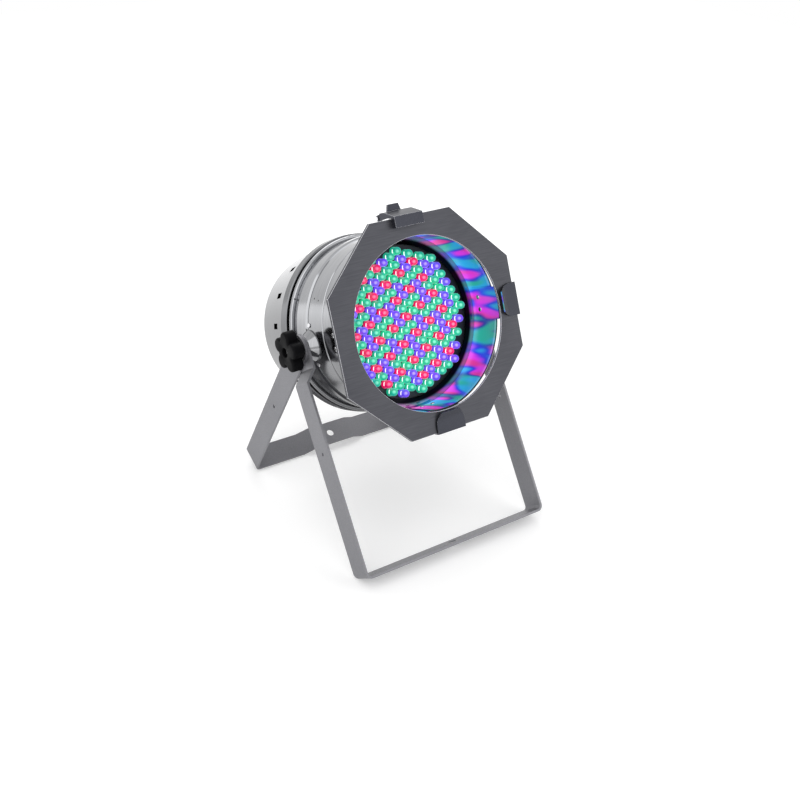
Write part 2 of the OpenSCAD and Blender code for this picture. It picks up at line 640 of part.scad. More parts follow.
module latch_arm() color(steel) difference() {
    union() {
        side_plate(0, latch_w) polygon([
            [pin_at + 5, pin_z + 4], [lip_f - 20, pin_z + 4], [lip_f, latch_under],
            [lip_f, frame_top - lip_drop + clip_gap], [lip_f + clip_t, frame_top - lip_drop + clip_gap],
            [lip_f + clip_t, latch_under + 1.2], [lip_f - 19.6, pin_z + 4 + clip_t],
            [pin_at + 5, pin_z + 4 + clip_t]]);
        for (s = [-1, 1]) side_plate(s * (latch_w - clip_t) / 2, clip_t) polygon([
            [pin_at - 4, pin_z + 3], [pin_at - 4, pin_z - 3], [pin_at + 6, pin_z - 3],
            [frame_at - 6, latch_under], [frame_at + frame_t + clip_gap, latch_under],
            [frame_at + frame_t + clip_gap, frame_top - lip_drop + clip_gap],
            [lip_f + 0.1, frame_top - lip_drop + clip_gap], [lip_f + 0.1, latch_under + 0.5],
            [lip_f - 19.8, pin_z + 4.5], [pin_at + 5, pin_z + 4.5]]);
        // The thumb tab narrows towards its top
        at_latch() translate([pin_z + 4.5, 0, pin_at + 5]) linear_extrude(2) polygon([
            [0, -tab_w / 2], [tab_h, 2.5 - tab_w / 2], [tab_h, tab_w / 2 - 2.5], [0, tab_w / 2]]);
    }
    on_pin() translate([0, 0, -40]) cylinder(r = pin_r + 0.08, h = 80, $fn = 24);
}

// ---- yokes ----
jog_turn = atan2(front_half - front_out_x, joggle_len);
jog_shift = strap_t * tan(jog_turn / 2);
function mirrored(v) = concat(v, [for (i = [len(v) - 1:-1:0]) [-v[i][0], v[i][1]]]);
// A quarter bend, from the arm to the crossbar or back
function bend(half, len, r, from, to) = [for (k = [0:9]) let (a = from + (to - from) * k / 9)
    [half - bend_r + r * cos(a), len - bend_r + r * sin(a)]];
// Yokes are drawn with Y from the pivots to the crossbar
module front_yoke() color(steel) yoke_place(front_lean, -1) difference() {
    trimmed(front_len) difference() {
        polygon(mirrored(concat(
            [[front_out_x, -strap_w], [front_out_x, joggle_at], [front_half, joggle_at + joggle_len]],
            bend(front_half, front_len, bend_r, 0, 90))));
        polygon(mirrored(concat(
            [[front_in_x, -2 * strap_w], [front_in_x, joggle_at + jog_shift],
             [front_half - strap_t, joggle_at + joggle_len + jog_shift]],
            bend(front_half, front_len, bend_r - strap_t, 0, 90))));
    }
    yoke_holes(front_len);
}
set_turn = atan2(set_in, set_run);
set_shift = strap_t * tan(set_turn / 2);
module rear_yoke() color(steel) yoke_place(rear_lean, 1) difference() {
    trimmed(rear_len) difference() {
        polygon(mirrored(concat(
            [[rear_half, -strap_w]], bend(rear_half, rear_len, bend_r, 0, 90),
            [[set_half + set_run, rear_len], [set_half, rear_len - set_in]])));
        polygon(mirrored(concat(
            [[rear_in_x, -2 * strap_w]], bend(rear_half, rear_len, bend_r - strap_t, 0, 90),
            [[set_half + set_run - set_shift, rear_len - strap_t],
             [set_half - set_shift, rear_len - set_in - strap_t]])));
    }
    yoke_holes(rear_len);
}
module yoke_place(lean, way) translate([0, pivot_y, pivot_h]) rotate([way * lean, 0, 0])
    rotate([-90, 0, 0]) children();
// Strap outline pulled to its width, with round ends at the pivots
module trimmed(len) intersection() {
    translate([0, 0, -strap_w / 2]) linear_extrude(strap_w) children();
    union() {
        translate([-200, 0, -strap_w / 2 - 1]) cube([400, len + 1, strap_w + 2]);
        rotate([0, 90, 0]) cylinder(r = strap_w / 2 + 1, h = 400, center = true, $fn = 64);
    }
}
module yoke_holes(len) {
    rotate([0, 90, 0]) cylinder(r = bolt_d / 2 + bolt_gap, h = 400, center = true, $fn = 32);
    translate([0, arm_hole_at, 0]) rotate([0, 90, 0])
        cylinder(r = arm_hole_d / 2, h = 400, center = true, $fn = 32);
    translate([0, len - 20, 0]) rotate([-90, 0, 0]) cylinder(r = hang_d / 2, h = 40, $fn = 48);
}

// ---- rear end ----
module socket_places() for (s = [-1, 1]) on_end(s * socket_half, socket_up) children();
module socket_screw_places() for (s = [-1, 1]) for (d = [-1, 1])
    on_end(s * socket_half + d * 9.5, socket_up - d * 12) children();
module socket_shell() difference() {
    union() {
        translate([-13, -15.5, 0.05]) cube([26, 31, 2]);
        translate([0, 0, -20]) cylinder(r = socket_bore / 2 + 1.8, h = 20.5, $fn = 32);
    }
    translate([0, 0, -16]) cylinder(r = socket_bore / 2, h = 30, $fn = 32);
    for (d = [-1, 1]) translate([d * 9.5, -d * 12, -1]) cylinder(r = 1.6, h = 6, $fn = 16);
}
module pin_ring(r, len) for (a = [-150, -90, -30]) rotate([0, 0, a]) translate([5.2, 0, 0])
    cylinder(r = r, h = len, $fn = 24);
module socket_in() color(black) on_end(-socket_half, socket_up) socket_shell();
module socket_out() color(black) on_end(socket_half, socket_up) socket_shell();
module socket_pins() color(steel) on_end(-socket_half, socket_up)
    translate([0, 0, -16]) pin_ring(1.2, 12);
module socket_insert() color(black) on_end(socket_half, socket_up) difference() {
    translate([0, 0, -16]) cylinder(r = socket_bore / 2 - 1.4, h = 15, $fn = 48);
    translate([0, 0, -12]) pin_ring(1.3, 20);
}
module socket_screws() color(steel) socket_screw_places() {
    translate([0, 0, -6]) cylinder(r = 1.45, h = 8.6, $fn = 24);
    translate([0, 0, 2.1]) cylinder(r = 2.6, h = 1.4, $fn = 24);
}
module display() color(black) on_end(0, display_up) {
    translate([-display_w / 2, -display_h / 2, 0.05]) cube([display_w, display_h, 1.2]);
    translate([-display_w / 2 + 1.7, -display_h / 2 + 1.7, -6])
        cube([display_w - 3.4, display_h - 3.4, 6.5]);
}
module key_places() for (k = [0:3]) on_end((k - 1.5) * key_step, key_up) children();
module menu_key(k) color([0.25, 0.25, 0.27]) on_end((k - 1.5) * key_step, key_up) {
    translate([0, 0, -can_wall - 2]) cylinder(r = key_d / 2, h = can_wall + 2 + key_out, $fn = 32);
    translate([0, 0, -can_wall - seat_gap - 2]) cylinder(r = key_d / 2 + 1, h = 2, $fn = 32);
}
module menu_key_a() menu_key(0);
module menu_key_b() menu_key(1);
module menu_key_c() menu_key(2);
module menu_key_d() menu_key(3);
module gland_body() color(black) on_end(0, gland_up) difference() {
    union() {
        translate([0, 0, -8]) cylinder(r = gland_bore / 2 + 3.5, h = 16, $fn = 32);
        translate([0, 0, 0.05]) cylinder(r = gland_bore / 2 + 7, h = 4.5, $fn = 6);
        translate([0, 0, -can_wall - 4.05]) cylinder(r = gland_bore / 2 + 7, h = 4, $fn = 6);
    }
    translate([0, 0, -10]) cylinder(r = gland_bore / 2, h = 30, $fn = 32);
}
module gland_nut() color(black) on_end(0, gland_up) difference() {
    union() {
        translate([0, 0, 4.6]) cylinder(r = gland_bore / 2 + 6.6, h = 8, $fn = 6);
        translate([0, 0, 12]) cylinder(r1 = gland_bore / 2 + 5.4, r2 = gland_bore / 2 + 3.2, h = 5, $fn = 32);
    }
    translate([0, 0, 4]) cylinder(r = gland_bore / 2 + 3.58, h = 8, $fn = 32);
    translate([0, 0, 4]) cylinder(r = gland_bore / 2, h = 20, $fn = 32);
}
eye_r = 7;
eye_wire = 2;
module safety_eye() color(steel) on_end(0, eye_up) {
    translate([0, 0, 6]) rotate([90, 0, 0]) rotate_extrude(angle = 180, $fn = 48)
        translate([eye_r, 0]) circle(r = eye_wire, $fn = 24);
    for (s = [-1, 1]) {
        translate([s * eye_r, 0, -6]) cylinder(r = eye_wire, h = 12, $fn = 24);
        translate([s * eye_r, 0, -can_wall - 3.1]) cylinder(r = 3.8, h = 3, $fn = 6);
        translate([s * eye_r, 0, 0.1]) cylinder(r = 3.8, h = 3, $fn = 6);
    }
}

front_can();
rear_housing();
seam_screws();
led_board();
red_leds();
green_leds();
blue_leds();
led_ring();
board_pillars();
board_screws();
chassis_pan();
power_board();
power_parts();
driver_board();
driver_parts();
pivot_plates();
pivot_rivets();
pivot_bolts();
pivot_spacers();
pivot_washers();
clip_left();
clip_right();
clip_bottom();
clip_rivets();
latch_bracket();
latch_pin();
latch_spring();
latch_arm();
gel_frame_front();
gel_frame_back();
front_yoke();
rear_yoke();
knob_left();
knob_right();
socket_in();
socket_out();
socket_pins();
socket_insert();
socket_screws();
display();
menu_key_a();
menu_key_b();
menu_key_c();
menu_key_d();
gland_body();
gland_nut();
safety_eye();
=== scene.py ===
import bpy, bmesh, json, math
from mathutils import Vector, Matrix
from mathutils.bvhtree import BVHTree

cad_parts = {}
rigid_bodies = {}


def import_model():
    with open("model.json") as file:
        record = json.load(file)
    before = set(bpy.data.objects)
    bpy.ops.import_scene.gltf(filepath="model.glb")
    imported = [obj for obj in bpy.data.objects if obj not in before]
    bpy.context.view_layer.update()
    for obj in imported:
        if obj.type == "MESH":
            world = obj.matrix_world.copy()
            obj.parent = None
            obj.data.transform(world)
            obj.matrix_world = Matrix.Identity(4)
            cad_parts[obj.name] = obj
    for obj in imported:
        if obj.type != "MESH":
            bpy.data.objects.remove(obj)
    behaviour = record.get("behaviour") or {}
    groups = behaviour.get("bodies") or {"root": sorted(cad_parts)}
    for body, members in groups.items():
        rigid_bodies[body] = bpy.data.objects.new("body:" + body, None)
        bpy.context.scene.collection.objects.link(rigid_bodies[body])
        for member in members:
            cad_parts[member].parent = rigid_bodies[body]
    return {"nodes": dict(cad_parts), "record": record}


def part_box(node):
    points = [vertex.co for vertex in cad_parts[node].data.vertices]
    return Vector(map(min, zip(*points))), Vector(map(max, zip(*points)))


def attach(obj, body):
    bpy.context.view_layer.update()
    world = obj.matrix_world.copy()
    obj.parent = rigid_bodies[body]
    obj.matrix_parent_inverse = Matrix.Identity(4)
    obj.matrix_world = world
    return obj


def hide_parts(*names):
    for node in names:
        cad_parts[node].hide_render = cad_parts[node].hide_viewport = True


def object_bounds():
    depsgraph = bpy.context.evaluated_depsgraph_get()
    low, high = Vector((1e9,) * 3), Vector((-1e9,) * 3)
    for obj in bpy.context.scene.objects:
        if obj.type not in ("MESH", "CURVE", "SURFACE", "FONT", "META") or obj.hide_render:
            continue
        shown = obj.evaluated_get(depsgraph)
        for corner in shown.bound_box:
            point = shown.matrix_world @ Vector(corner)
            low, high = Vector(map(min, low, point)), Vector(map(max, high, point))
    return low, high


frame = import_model()
cadBox = [list(corner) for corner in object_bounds()]
record = frame["record"]
joints = {j["name"]: j for j in record["behaviour"]["joints"]}

# The lamp is tipped up: its own axes come from the record's joints
pivot = Vector(joints["front_yoke_swing"]["pos_m"])
side = Vector((1, 0, 0))
fore = Vector(joints["menu_key_a_press"]["axis"]).normalized()
rise = Vector(joints["frame_lift"]["axis"]).normalized()
tilt = math.atan2(fore.z, -fore.y)


def middle(node):
    low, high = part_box(node)
    return (Vector(low) + Vector(high)) / 2


axisPoint = middle("led_ring")
axisRise = (axisPoint - pivot).dot(rise)


def onAxis(x, f, u):
    # x to the right, f ahead of the pivots, u above the can's axis, in metres
    return pivot + side * x + fore * f + rise * (axisRise + u)


print("stage: frame loaded,", len(frame["nodes"]), "nodes")

# Image points, in pixels of the 800 x 800 photograph
photoSize = 800
imagePoints = {
    "leftEdge": 244.9, "rightEdge": 541.8, "topEdge": 201.9, "bottomEdge": 578.6,
    "frameTopLeft": (369.6, 223.4), "frameTopRight": (449.0, 207.2), "frameRightUpper": (506.8, 256.3),
    "frameRightLower": (521.5, 346.8), "frameBottomRight": (485.8, 418.1), "frameBottomLeft": (409.6, 442.0),
    "rearHangingHole": (330.0, 432.0), "frontHangingHole": (452.6, 540.0), "leftKnobMiddle": (284.5, 353.0),
    "weldMarkAhead": (318.2, 300.7), "weldMarkBehind": (314.4, 298.6), "weldMarkSeam": (294.9, 299.2)}

# Camera, fitted to the photograph by the frame, its opening and the yokes
cameraFit = {"place": (-0.7180, -1.0200, 0.8640), "aim": (0.0260, 0.0, 0.1260), "roll": 2.7956,
             "lens": 50.709, "sensor": 36.0}


def makeCamera(fit):
    data = bpy.data.cameras.new("photoCamera")
    cameraObject = bpy.data.objects.new("photoCamera", data)
    bpy.context.scene.collection.objects.link(cameraObject)
    data.sensor_fit = "AUTO"
    data.sensor_width = fit["sensor"]
    data.lens = fit["lens"]
    place = Vector(fit["place"])
    look = Vector(fit["aim"]) - place
    turn = look.to_track_quat("-Z", "Y").to_matrix() @ Matrix.Rotation(math.radians(fit["roll"]), 3, "Z")
    cameraObject.matrix_world = Matrix.Translation(place) @ turn.to_4x4()
    bpy.context.scene.camera = cameraObject
    return cameraObject


photoCamera = makeCamera(cameraFit)
print("stage: camera at", cameraFit["place"])

# Floor, backdrop and lamps; sizes and places in metres, powers in watts
studio = {"floorSize": 6.0, "floorColour": 0.86, "floorGlow": 0.22, "floorDrop": 0.0004,
          "glowFrom": 0.6, "glowTo": 1.8, "farGlow": 0.8, "worldLight": 0.8, "worldShown": 1.0,
          "lamps": {"keyLamp": ((-1.1, -0.9, 1.5), 2.4, 13.0), "fillLamp": ((1.3, -1.2, 0.9), 2.0, 6.0),
                    "rimLamp": ((0.3, 1.3, 1.4), 1.4, 8.0)}}


def addNode(nodes, kind, **values):
    made = nodes.new(kind)
    for name, value in values.items():
        setattr(made, name, value)
    return made


def setRange(node, low, high, toLow, toHigh):
    for label, value in zip(("From Min", "From Max", "To Min", "To Max"), (low, high, toLow, toHigh)):
        node.inputs[label].default_value = value


def newMaterial(name):
    made = bpy.data.materials.new(name)
    made.use_nodes = True
    made.node_tree.nodes.clear()
    return made, made.node_tree.nodes, made.node_tree.links


def seenRays(nodes, links):
    # 1 where the camera looks, also through gloss or glass
    path = nodes.new("ShaderNodeLightPath")
    first = addNode(nodes, "ShaderNodeMath", operation="MAXIMUM")
    links.new(path.outputs["Is Camera Ray"], first.inputs[0])
    links.new(path.outputs["Is Glossy Ray"], first.inputs[1])
    second = addNode(nodes, "ShaderNodeMath", operation="MAXIMUM")
    links.new(first.outputs[0], second.inputs[0])
    links.new(path.outputs["Is Transmission Ray"], second.inputs[1])
    return second.outputs[0]


def makeStudio(settings):
    scene = bpy.context.scene
    scene.view_settings.view_transform = "Standard"
    world = bpy.data.worlds.new("studioWorld")
    world.use_nodes = True
    scene.world = world
    nodes, links = world.node_tree.nodes, world.node_tree.links
    nodes.clear()
    out = nodes.new("ShaderNodeOutputWorld")
    glow = nodes.new("ShaderNodeBackground")
    glow.inputs["Color"].default_value = (1, 1, 1, 1)
    strength = nodes.new("ShaderNodeMapRange")
    setRange(strength, 0, 1, settings["worldLight"], settings["worldShown"])
    links.new(seenRays(nodes, links), strength.inputs["Value"])
    links.new(strength.outputs["Result"], glow.inputs["Strength"])
    links.new(glow.outputs[0], out.inputs["Surface"])
    paper, nodes, links = newMaterial("floorPaper")
    out = nodes.new("ShaderNodeOutputMaterial")
    matt = nodes.new("ShaderNodeBsdfDiffuse")
    tone = settings["floorColour"]
    matt.inputs["Color"].default_value = (tone, tone, tone, 1)
    shine = nodes.new("ShaderNodeEmission")
    spot = nodes.new("ShaderNodeTexCoord")
    away = addNode(nodes, "ShaderNodeVectorMath", operation="LENGTH")
    links.new(spot.outputs["Object"], away.inputs[0])
    spread = nodes.new("ShaderNodeMapRange")  # far from the part the paper turns as white as the backdrop
    setRange(spread, settings["glowFrom"], settings["glowTo"], settings["floorGlow"], settings["farGlow"])
    links.new(away.outputs["Value"], spread.inputs["Value"])
    power = addNode(nodes, "ShaderNodeMath", operation="MULTIPLY")
    links.new(spread.outputs["Result"], power.inputs[1])
    links.new(seenRays(nodes, links), power.inputs[0])
    links.new(power.outputs[0], shine.inputs["Strength"])
    both = nodes.new("ShaderNodeAddShader")
    links.new(matt.outputs[0], both.inputs[0])
    links.new(shine.outputs[0], both.inputs[1])
    links.new(both.outputs[0], out.inputs["Surface"])
    half = settings["floorSize"] / 2
    sheet = bpy.data.meshes.new("floor")
    sheet.from_pydata([(-half, -half, 0), (half, -half, 0), (half, half, 0), (-half, half, 0)], [], [(0, 1, 2, 3)])
    sheet.materials.append(paper)
    floor = bpy.data.objects.new("floor", sheet)
    floor.location.z = cadBox[0][2] - settings["floorDrop"]
    scene.collection.objects.link(floor)
    for name, (place, size, power) in settings["lamps"].items():
        data = bpy.data.lights.new(name, "AREA")
        data.shape = "DISK"
        data.size = size
        data.energy = power
        lamp = bpy.data.objects.new(name, data)
        aim = (pivot - Vector(place)).to_track_quat("-Z", "Y").to_matrix().to_4x4()
        lamp.matrix_world = Matrix.Translation(place) @ aim
        scene.collection.objects.link(lamp)


makeStudio(studio)
print("stage: floor, world and lamps")


def shaderStart(name):
    # A material with one Principled shader on its output
    made, nodes, links = newMaterial(name)
    out = nodes.new("ShaderNodeOutputMaterial")
    body = nodes.new("ShaderNodeBsdfPrincipled")
    links.new(body.outputs[0], out.inputs["Surface"])
    return made, nodes, links, body


def lampAxes(nodes, links, centre):
    # Object coordinates turned into the tipped lamp's axes, measured from the centre
    spot = nodes.new("ShaderNodeTexCoord")
    turn = addNode(nodes, "ShaderNodeMapping", vector_type="TEXTURE")
    turn.inputs["Location"].default_value = centre
    turn.inputs["Rotation"].default_value = (-tilt, 0, 0)
    links.new(spot.outputs["Object"], turn.inputs["Vector"])
    return turn.outputs["Vector"]


# What all finishes share: two noises, the part of their sum that runs from dark to light, how far below and above
# the axis a finish with painted shade turns darker, in metres, and the clear coat
grainRule = {"fineDetail": 3, "broadScale": 14, "broadDetail": 4, "span": (0.6, 1.4), "paintedShadeBand": (-0.1, 0.1),
             "coatRough": 0.1, "index": 1.5}


def finishMaterial(name, look):
    # One metal, paint or plastic: colour, roughness and bump from procedural grain in the lamp's axes
    made, nodes, links, body = shaderStart(name)
    body.inputs["Metallic"].default_value = look.get("metal", 0.0)
    body.inputs["IOR"].default_value = grainRule["index"]
    body.inputs["Specular IOR Level"].default_value = look.get("gleam", 0.5)
    body.inputs["Coat Weight"].default_value = look.get("coat", 0.0)
    body.inputs["Coat Roughness"].default_value = grainRule["coatRough"]
    turned = lampAxes(nodes, links, axisPoint if "shade" in look else (0, 0, 0))
    stretch = nodes.new("ShaderNodeMapping")
    stretch.inputs["Scale"].default_value = look.get("stretch", (1, 1, 1))
    links.new(turned, stretch.inputs["Vector"])
    fine = addNode(nodes, "ShaderNodeTexNoise")
    fine.inputs["Scale"].default_value = look.get("grain", 900)
    fine.inputs["Detail"].default_value = grainRule["fineDetail"]
    links.new(stretch.outputs["Vector"], fine.inputs["Vector"])
    broad = addNode(nodes, "ShaderNodeTexNoise")
    broad.inputs["Scale"].default_value = grainRule["broadScale"]
    broad.inputs["Detail"].default_value = grainRule["broadDetail"]
    links.new(turned, broad.inputs["Vector"])
    mixed = addNode(nodes, "ShaderNodeMath", operation="ADD")
    links.new(fine.outputs["Fac"], mixed.inputs[0])
    links.new(broad.outputs["Fac"], mixed.inputs[1])
    ramp = nodes.new("ShaderNodeMapRange")
    setRange(ramp, *grainRule["span"], 0, 1)
    links.new(mixed.outputs[0], ramp.inputs["Value"])
    tint = addNode(nodes, "ShaderNodeMix", data_type="RGBA")
    tint.inputs[6].default_value = (*look["dark"], 1)
    tint.inputs[7].default_value = (*look["light"], 1)
    links.new(ramp.outputs["Result"], tint.inputs[0])
    if "shade" in look:
        # painted shade: the spun metal's colour is darker below the axis than above it
        split = nodes.new("ShaderNodeSeparateXYZ")
        links.new(turned, split.inputs[0])
        shadeLevel = addNode(nodes, "ShaderNodeMapRange", interpolation_type="SMOOTHSTEP")
        setRange(shadeLevel, *grainRule["paintedShadeBand"], look["shade"], 1)
        links.new(split.outputs["Z"], shadeLevel.inputs["Value"])
        shadedTint = addNode(nodes, "ShaderNodeVectorMath", operation="SCALE")
        links.new(tint.outputs[2], shadedTint.inputs[0])
        links.new(shadeLevel.outputs["Result"], shadedTint.inputs["Scale"])
        links.new(shadedTint.outputs[0], body.inputs["Base Color"])
    else:
        links.new(tint.outputs[2], body.inputs["Base Color"])
    rough = nodes.new("ShaderNodeMapRange")
    setRange(rough, 0, 1, *look["rough"])
    links.new(broad.outputs["Fac"], rough.inputs["Value"])
    links.new(rough.outputs["Result"], body.inputs["Roughness"])
    if look.get("bump"):
        bump = nodes.new("ShaderNodeBump")
        bump.inputs["Strength"].default_value = look["bump"]
        bump.inputs["Distance"].default_value = look.get("depth", 0.0001)
        links.new(fine.outputs["Fac"], bump.inputs["Height"])
        links.new(bump.outputs["Normal"], body.inputs["Normal"])
    return made


# Dark and light are the two ends of the colour; grain is the noise's scale, depth the bump's in metres; shade is the
# share of the colour kept below the axis, as painted shade
finishes = {
    "spunAluminium": {"metal": 1.0, "dark": (0.33, 0.335, 0.35), "light": (0.47, 0.475, 0.49),
                      "rough": (0.08, 0.17), "stretch": (0.02, 1, 0.02), "grain": 1400, "bump": 0.05,
                      "depth": 0.00002, "shade": 0.42},
    # the can's spun aluminium made darker for the housing: painted shade, standing for the darker surroundings it
    # mirrors
    "housingAluminium": {"metal": 1.0, "dark": (0.15, 0.152, 0.16), "light": (0.23, 0.233, 0.242),
                         "rough": (0.12, 0.22), "stretch": (0.02, 1, 0.02), "grain": 1400, "bump": 0.05,
                         "depth": 0.00002, "shade": 0.55},
    "weldGrey": {"metal": 0.8, "dark": (0.05, 0.05, 0.055), "light": (0.12, 0.12, 0.125), "rough": (0.35, 0.5),
                 "grain": 1800, "bump": 0.1, "depth": 0.00003},
    "zincPlate": {"metal": 0.5, "dark": (0.5, 0.5, 0.52), "light": (0.72, 0.72, 0.74), "rough": (0.28, 0.42),
                  "grain": 1200, "bump": 0.06, "depth": 0.00003},
    "satinSteel": {"metal": 0.5, "dark": (0.19, 0.19, 0.205), "light": (0.26, 0.26, 0.278),
                   "rough": (0.4, 0.54), "grain": 700, "bump": 0.08, "depth": 0.00005},
    "frameSteel": {"metal": 0.7, "dark": (0.055, 0.056, 0.066), "light": (0.085, 0.086, 0.098),
                   "rough": (0.34, 0.46), "stretch": (0.05, 1, 1), "grain": 900, "bump": 0.06, "depth": 0.00004},
    "clipSteel": {"metal": 0.8, "dark": (0.034, 0.036, 0.046), "light": (0.058, 0.06, 0.074),
                  "rough": (0.25, 0.36), "grain": 800, "bump": 0.05, "depth": 0.00004},
    # bright bare metal for cut edges, partly a painted highlight along them
    "cutEdgeAndHighlight": {"metal": 1.0, "dark": (0.5, 0.5, 0.53), "light": (0.7, 0.7, 0.73), "rough": (0.2, 0.34),
                "grain": 1600, "bump": 0.1, "depth": 0.00003},
    "brightSteel": {"metal": 1.0, "dark": (0.6, 0.6, 0.62), "light": (0.8, 0.8, 0.82), "rough": (0.16, 0.28),
                    "grain": 1200, "bump": 0.04, "depth": 0.00003},
    "blackMetal": {"metal": 0.0, "dark": (0.012, 0.012, 0.014), "light": (0.03, 0.03, 0.034),
                   "rough": (0.4, 0.55), "grain": 1500, "bump": 0.15, "depth": 0.00006},
    "blackPlastic": {"metal": 0.0, "dark": (0.002, 0.002, 0.0025), "light": (0.005, 0.005, 0.006),
                     "rough": (0.45, 0.62), "gleam": 0.06, "grain": 2200, "bump": 0.25, "depth": 0.00008},
    "greyPlastic": {"metal": 0.0, "dark": (0.11, 0.11, 0.12), "light": (0.16, 0.16, 0.17), "rough": (0.45, 0.6),
                    "grain": 2200, "bump": 0.2, "depth": 0.00008},
    "boardResin": {"metal": 0.0, "dark": (0.01, 0.05, 0.025), "light": (0.02, 0.1, 0.05), "rough": (0.35, 0.5),
                   "grain": 1600, "bump": 0.1, "depth": 0.00004},
    "blackResin": {"metal": 0.0, "dark": (0.006, 0.008, 0.012), "light": (0.014, 0.018, 0.024),
                   "rough": (0.35, 0.5), "grain": 1600, "bump": 0.1, "depth": 0.00004},
    "smokedWindow": {"metal": 0.0, "dark": (0.012, 0.004, 0.004), "light": (0.02, 0.006, 0.006),
                     "rough": (0.08, 0.14), "coat": 0.15, "grain": 500},
    "coilIron": {"metal": 0.2, "dark": (0.04, 0.04, 0.045), "light": (0.1, 0.09, 0.07), "rough": (0.4, 0.6),
                 "grain": 600, "bump": 0.1, "depth": 0.0001}}
materials = {name: finishMaterial(name, look) for name, look in finishes.items()}
nodeFinishes = {
    "spunAluminium": ["front_can", "pivot_spacers"], "housingAluminium": ["rear_housing"],
    "satinSteel": ["front_yoke", "rear_yoke", "chassis_pan", "pivot_plates"],
    "frameSteel": ["gel_frame_front", "gel_frame_back"],
    "clipSteel": ["clip_left", "clip_right", "clip_bottom", "latch_bracket", "latch_arm"],
    "brightSteel": ["pivot_rivets", "clip_rivets", "latch_pin", "socket_pins", "safety_eye"],
    "zincPlate": ["pivot_bolts", "board_pillars", "board_screws", "latch_spring", "socket_screws"],
    "blackMetal": ["led_ring", "seam_screws", "socket_in", "socket_out", "socket_insert"],
    "blackPlastic": ["knob_left", "knob_right", "pivot_washers", "gland_body", "gland_nut"],
    "greyPlastic": ["menu_key_a", "menu_key_b", "menu_key_c", "menu_key_d"],
    "boardResin": ["power_board", "driver_board"], "blackResin": ["led_board"],
    "smokedWindow": ["display"], "coilIron": ["power_parts", "driver_parts"]}


def finishNode(name, finish):
    cad = frame["nodes"][name]
    cad.data.materials.clear()
    cad.data.materials.append(materials[finish])


for finish, names in nodeFinishes.items():
    for name in names:
        finishNode(name, finish)
print("stage: materials on the CAD nodes")


def lensMaterial(name, deep, bright, glow):
    # A clear coloured lens, lit from inside, with a painted lighter rim round the dome and the die's white glint
    # painted on the barrel where it faces the view
    made, nodes, links, body = shaderStart(name)
    body.inputs["Roughness"].default_value = lensField["rough"]
    body.inputs["Coat Weight"].default_value = lensField["coat"]
    body.inputs["Coat Roughness"].default_value = lensField["coatRough"]
    view = nodes.new("ShaderNodeLayerWeight")
    view.inputs["Blend"].default_value = lensField["rimBlend"]
    height = addNode(nodes, "ShaderNodeAttribute", attribute_name="lensHeight")
    # painted highlight: the lens is lighter where it faces the view and at its rim, deep between, in colour and glow
    rim = nodes.new("ShaderNodeValToRGB")
    points = rim.color_ramp.elements
    points[0].position, points[0].color = 0.0, (*bright, 1)
    points[1].position, points[1].color = 1.0, (*bright, 1)
    for place, tone in zip(lensField["paintedRimStops"], (deep, deep, bright)):
        points.new(place).color = (*tone, 1)
    links.new(view.outputs["Facing"], rim.inputs["Fac"])
    links.new(rim.outputs["Color"], body.inputs["Base Color"])
    # painted glint: a band of the barrel's height, where it faces the view, glows white and brighter
    low = nodes.new("ShaderNodeValToRGB")
    band = low.color_ramp.elements
    band[0].position, band[0].color = lensField["glint"] - lensField["glintHalf"], (0, 0, 0, 1)
    band[1].position, band[1].color = lensField["glint"] + lensField["glintHalf"], (0, 0, 0, 1)
    band.new(lensField["glint"]).color = (1, 1, 1, 1)
    links.new(height.outputs["Fac"], low.inputs["Fac"])
    facing = addNode(nodes, "ShaderNodeMapRange", interpolation_type="SMOOTHSTEP")
    setRange(facing, *lensField["glintFacing"], 0, 1)
    links.new(view.outputs["Facing"], facing.inputs["Value"])
    glint = addNode(nodes, "ShaderNodeMath", operation="MULTIPLY")
    links.new(low.outputs["Color"], glint.inputs[0])
    links.new(facing.outputs["Result"], glint.inputs[1])
    hot = addNode(nodes, "ShaderNodeMix", data_type="RGBA")
    links.new(glint.outputs[0], hot.inputs[0])
    links.new(rim.outputs["Color"], hot.inputs[6])
    hot.inputs[7].default_value = (*lensField["glintTone"], 1)
    links.new(hot.outputs[2], body.inputs["Emission Color"])
    power = nodes.new("ShaderNodeMapRange")
    setRange(power, 0, 1, glow, glow * lensField["glintPower"])
    links.new(glint.outputs[0], power.inputs["Value"])
    links.new(power.outputs["Result"], body.inputs["Emission Strength"])
    return made


# The can's inner wall, with the lamps' light thrown along it
# each colour: noise from, noise to, darkest, brightest
thrownLight = {"streaks": 7.0, "along": 16.0, "detail": 0.4, "fade": (-0.05, 0.004), "glow": 0.95, "dimmest": 0.55,
               "metal": (0.1, 0.1, 0.13), "rough": 0.28, "red": (0.52, 0.64, 0.03, 0.9),
               "green": (0.54, 0.42, 0.05, 0.5), "blue": (0.36, 0.58, 0.4, 0.98)}


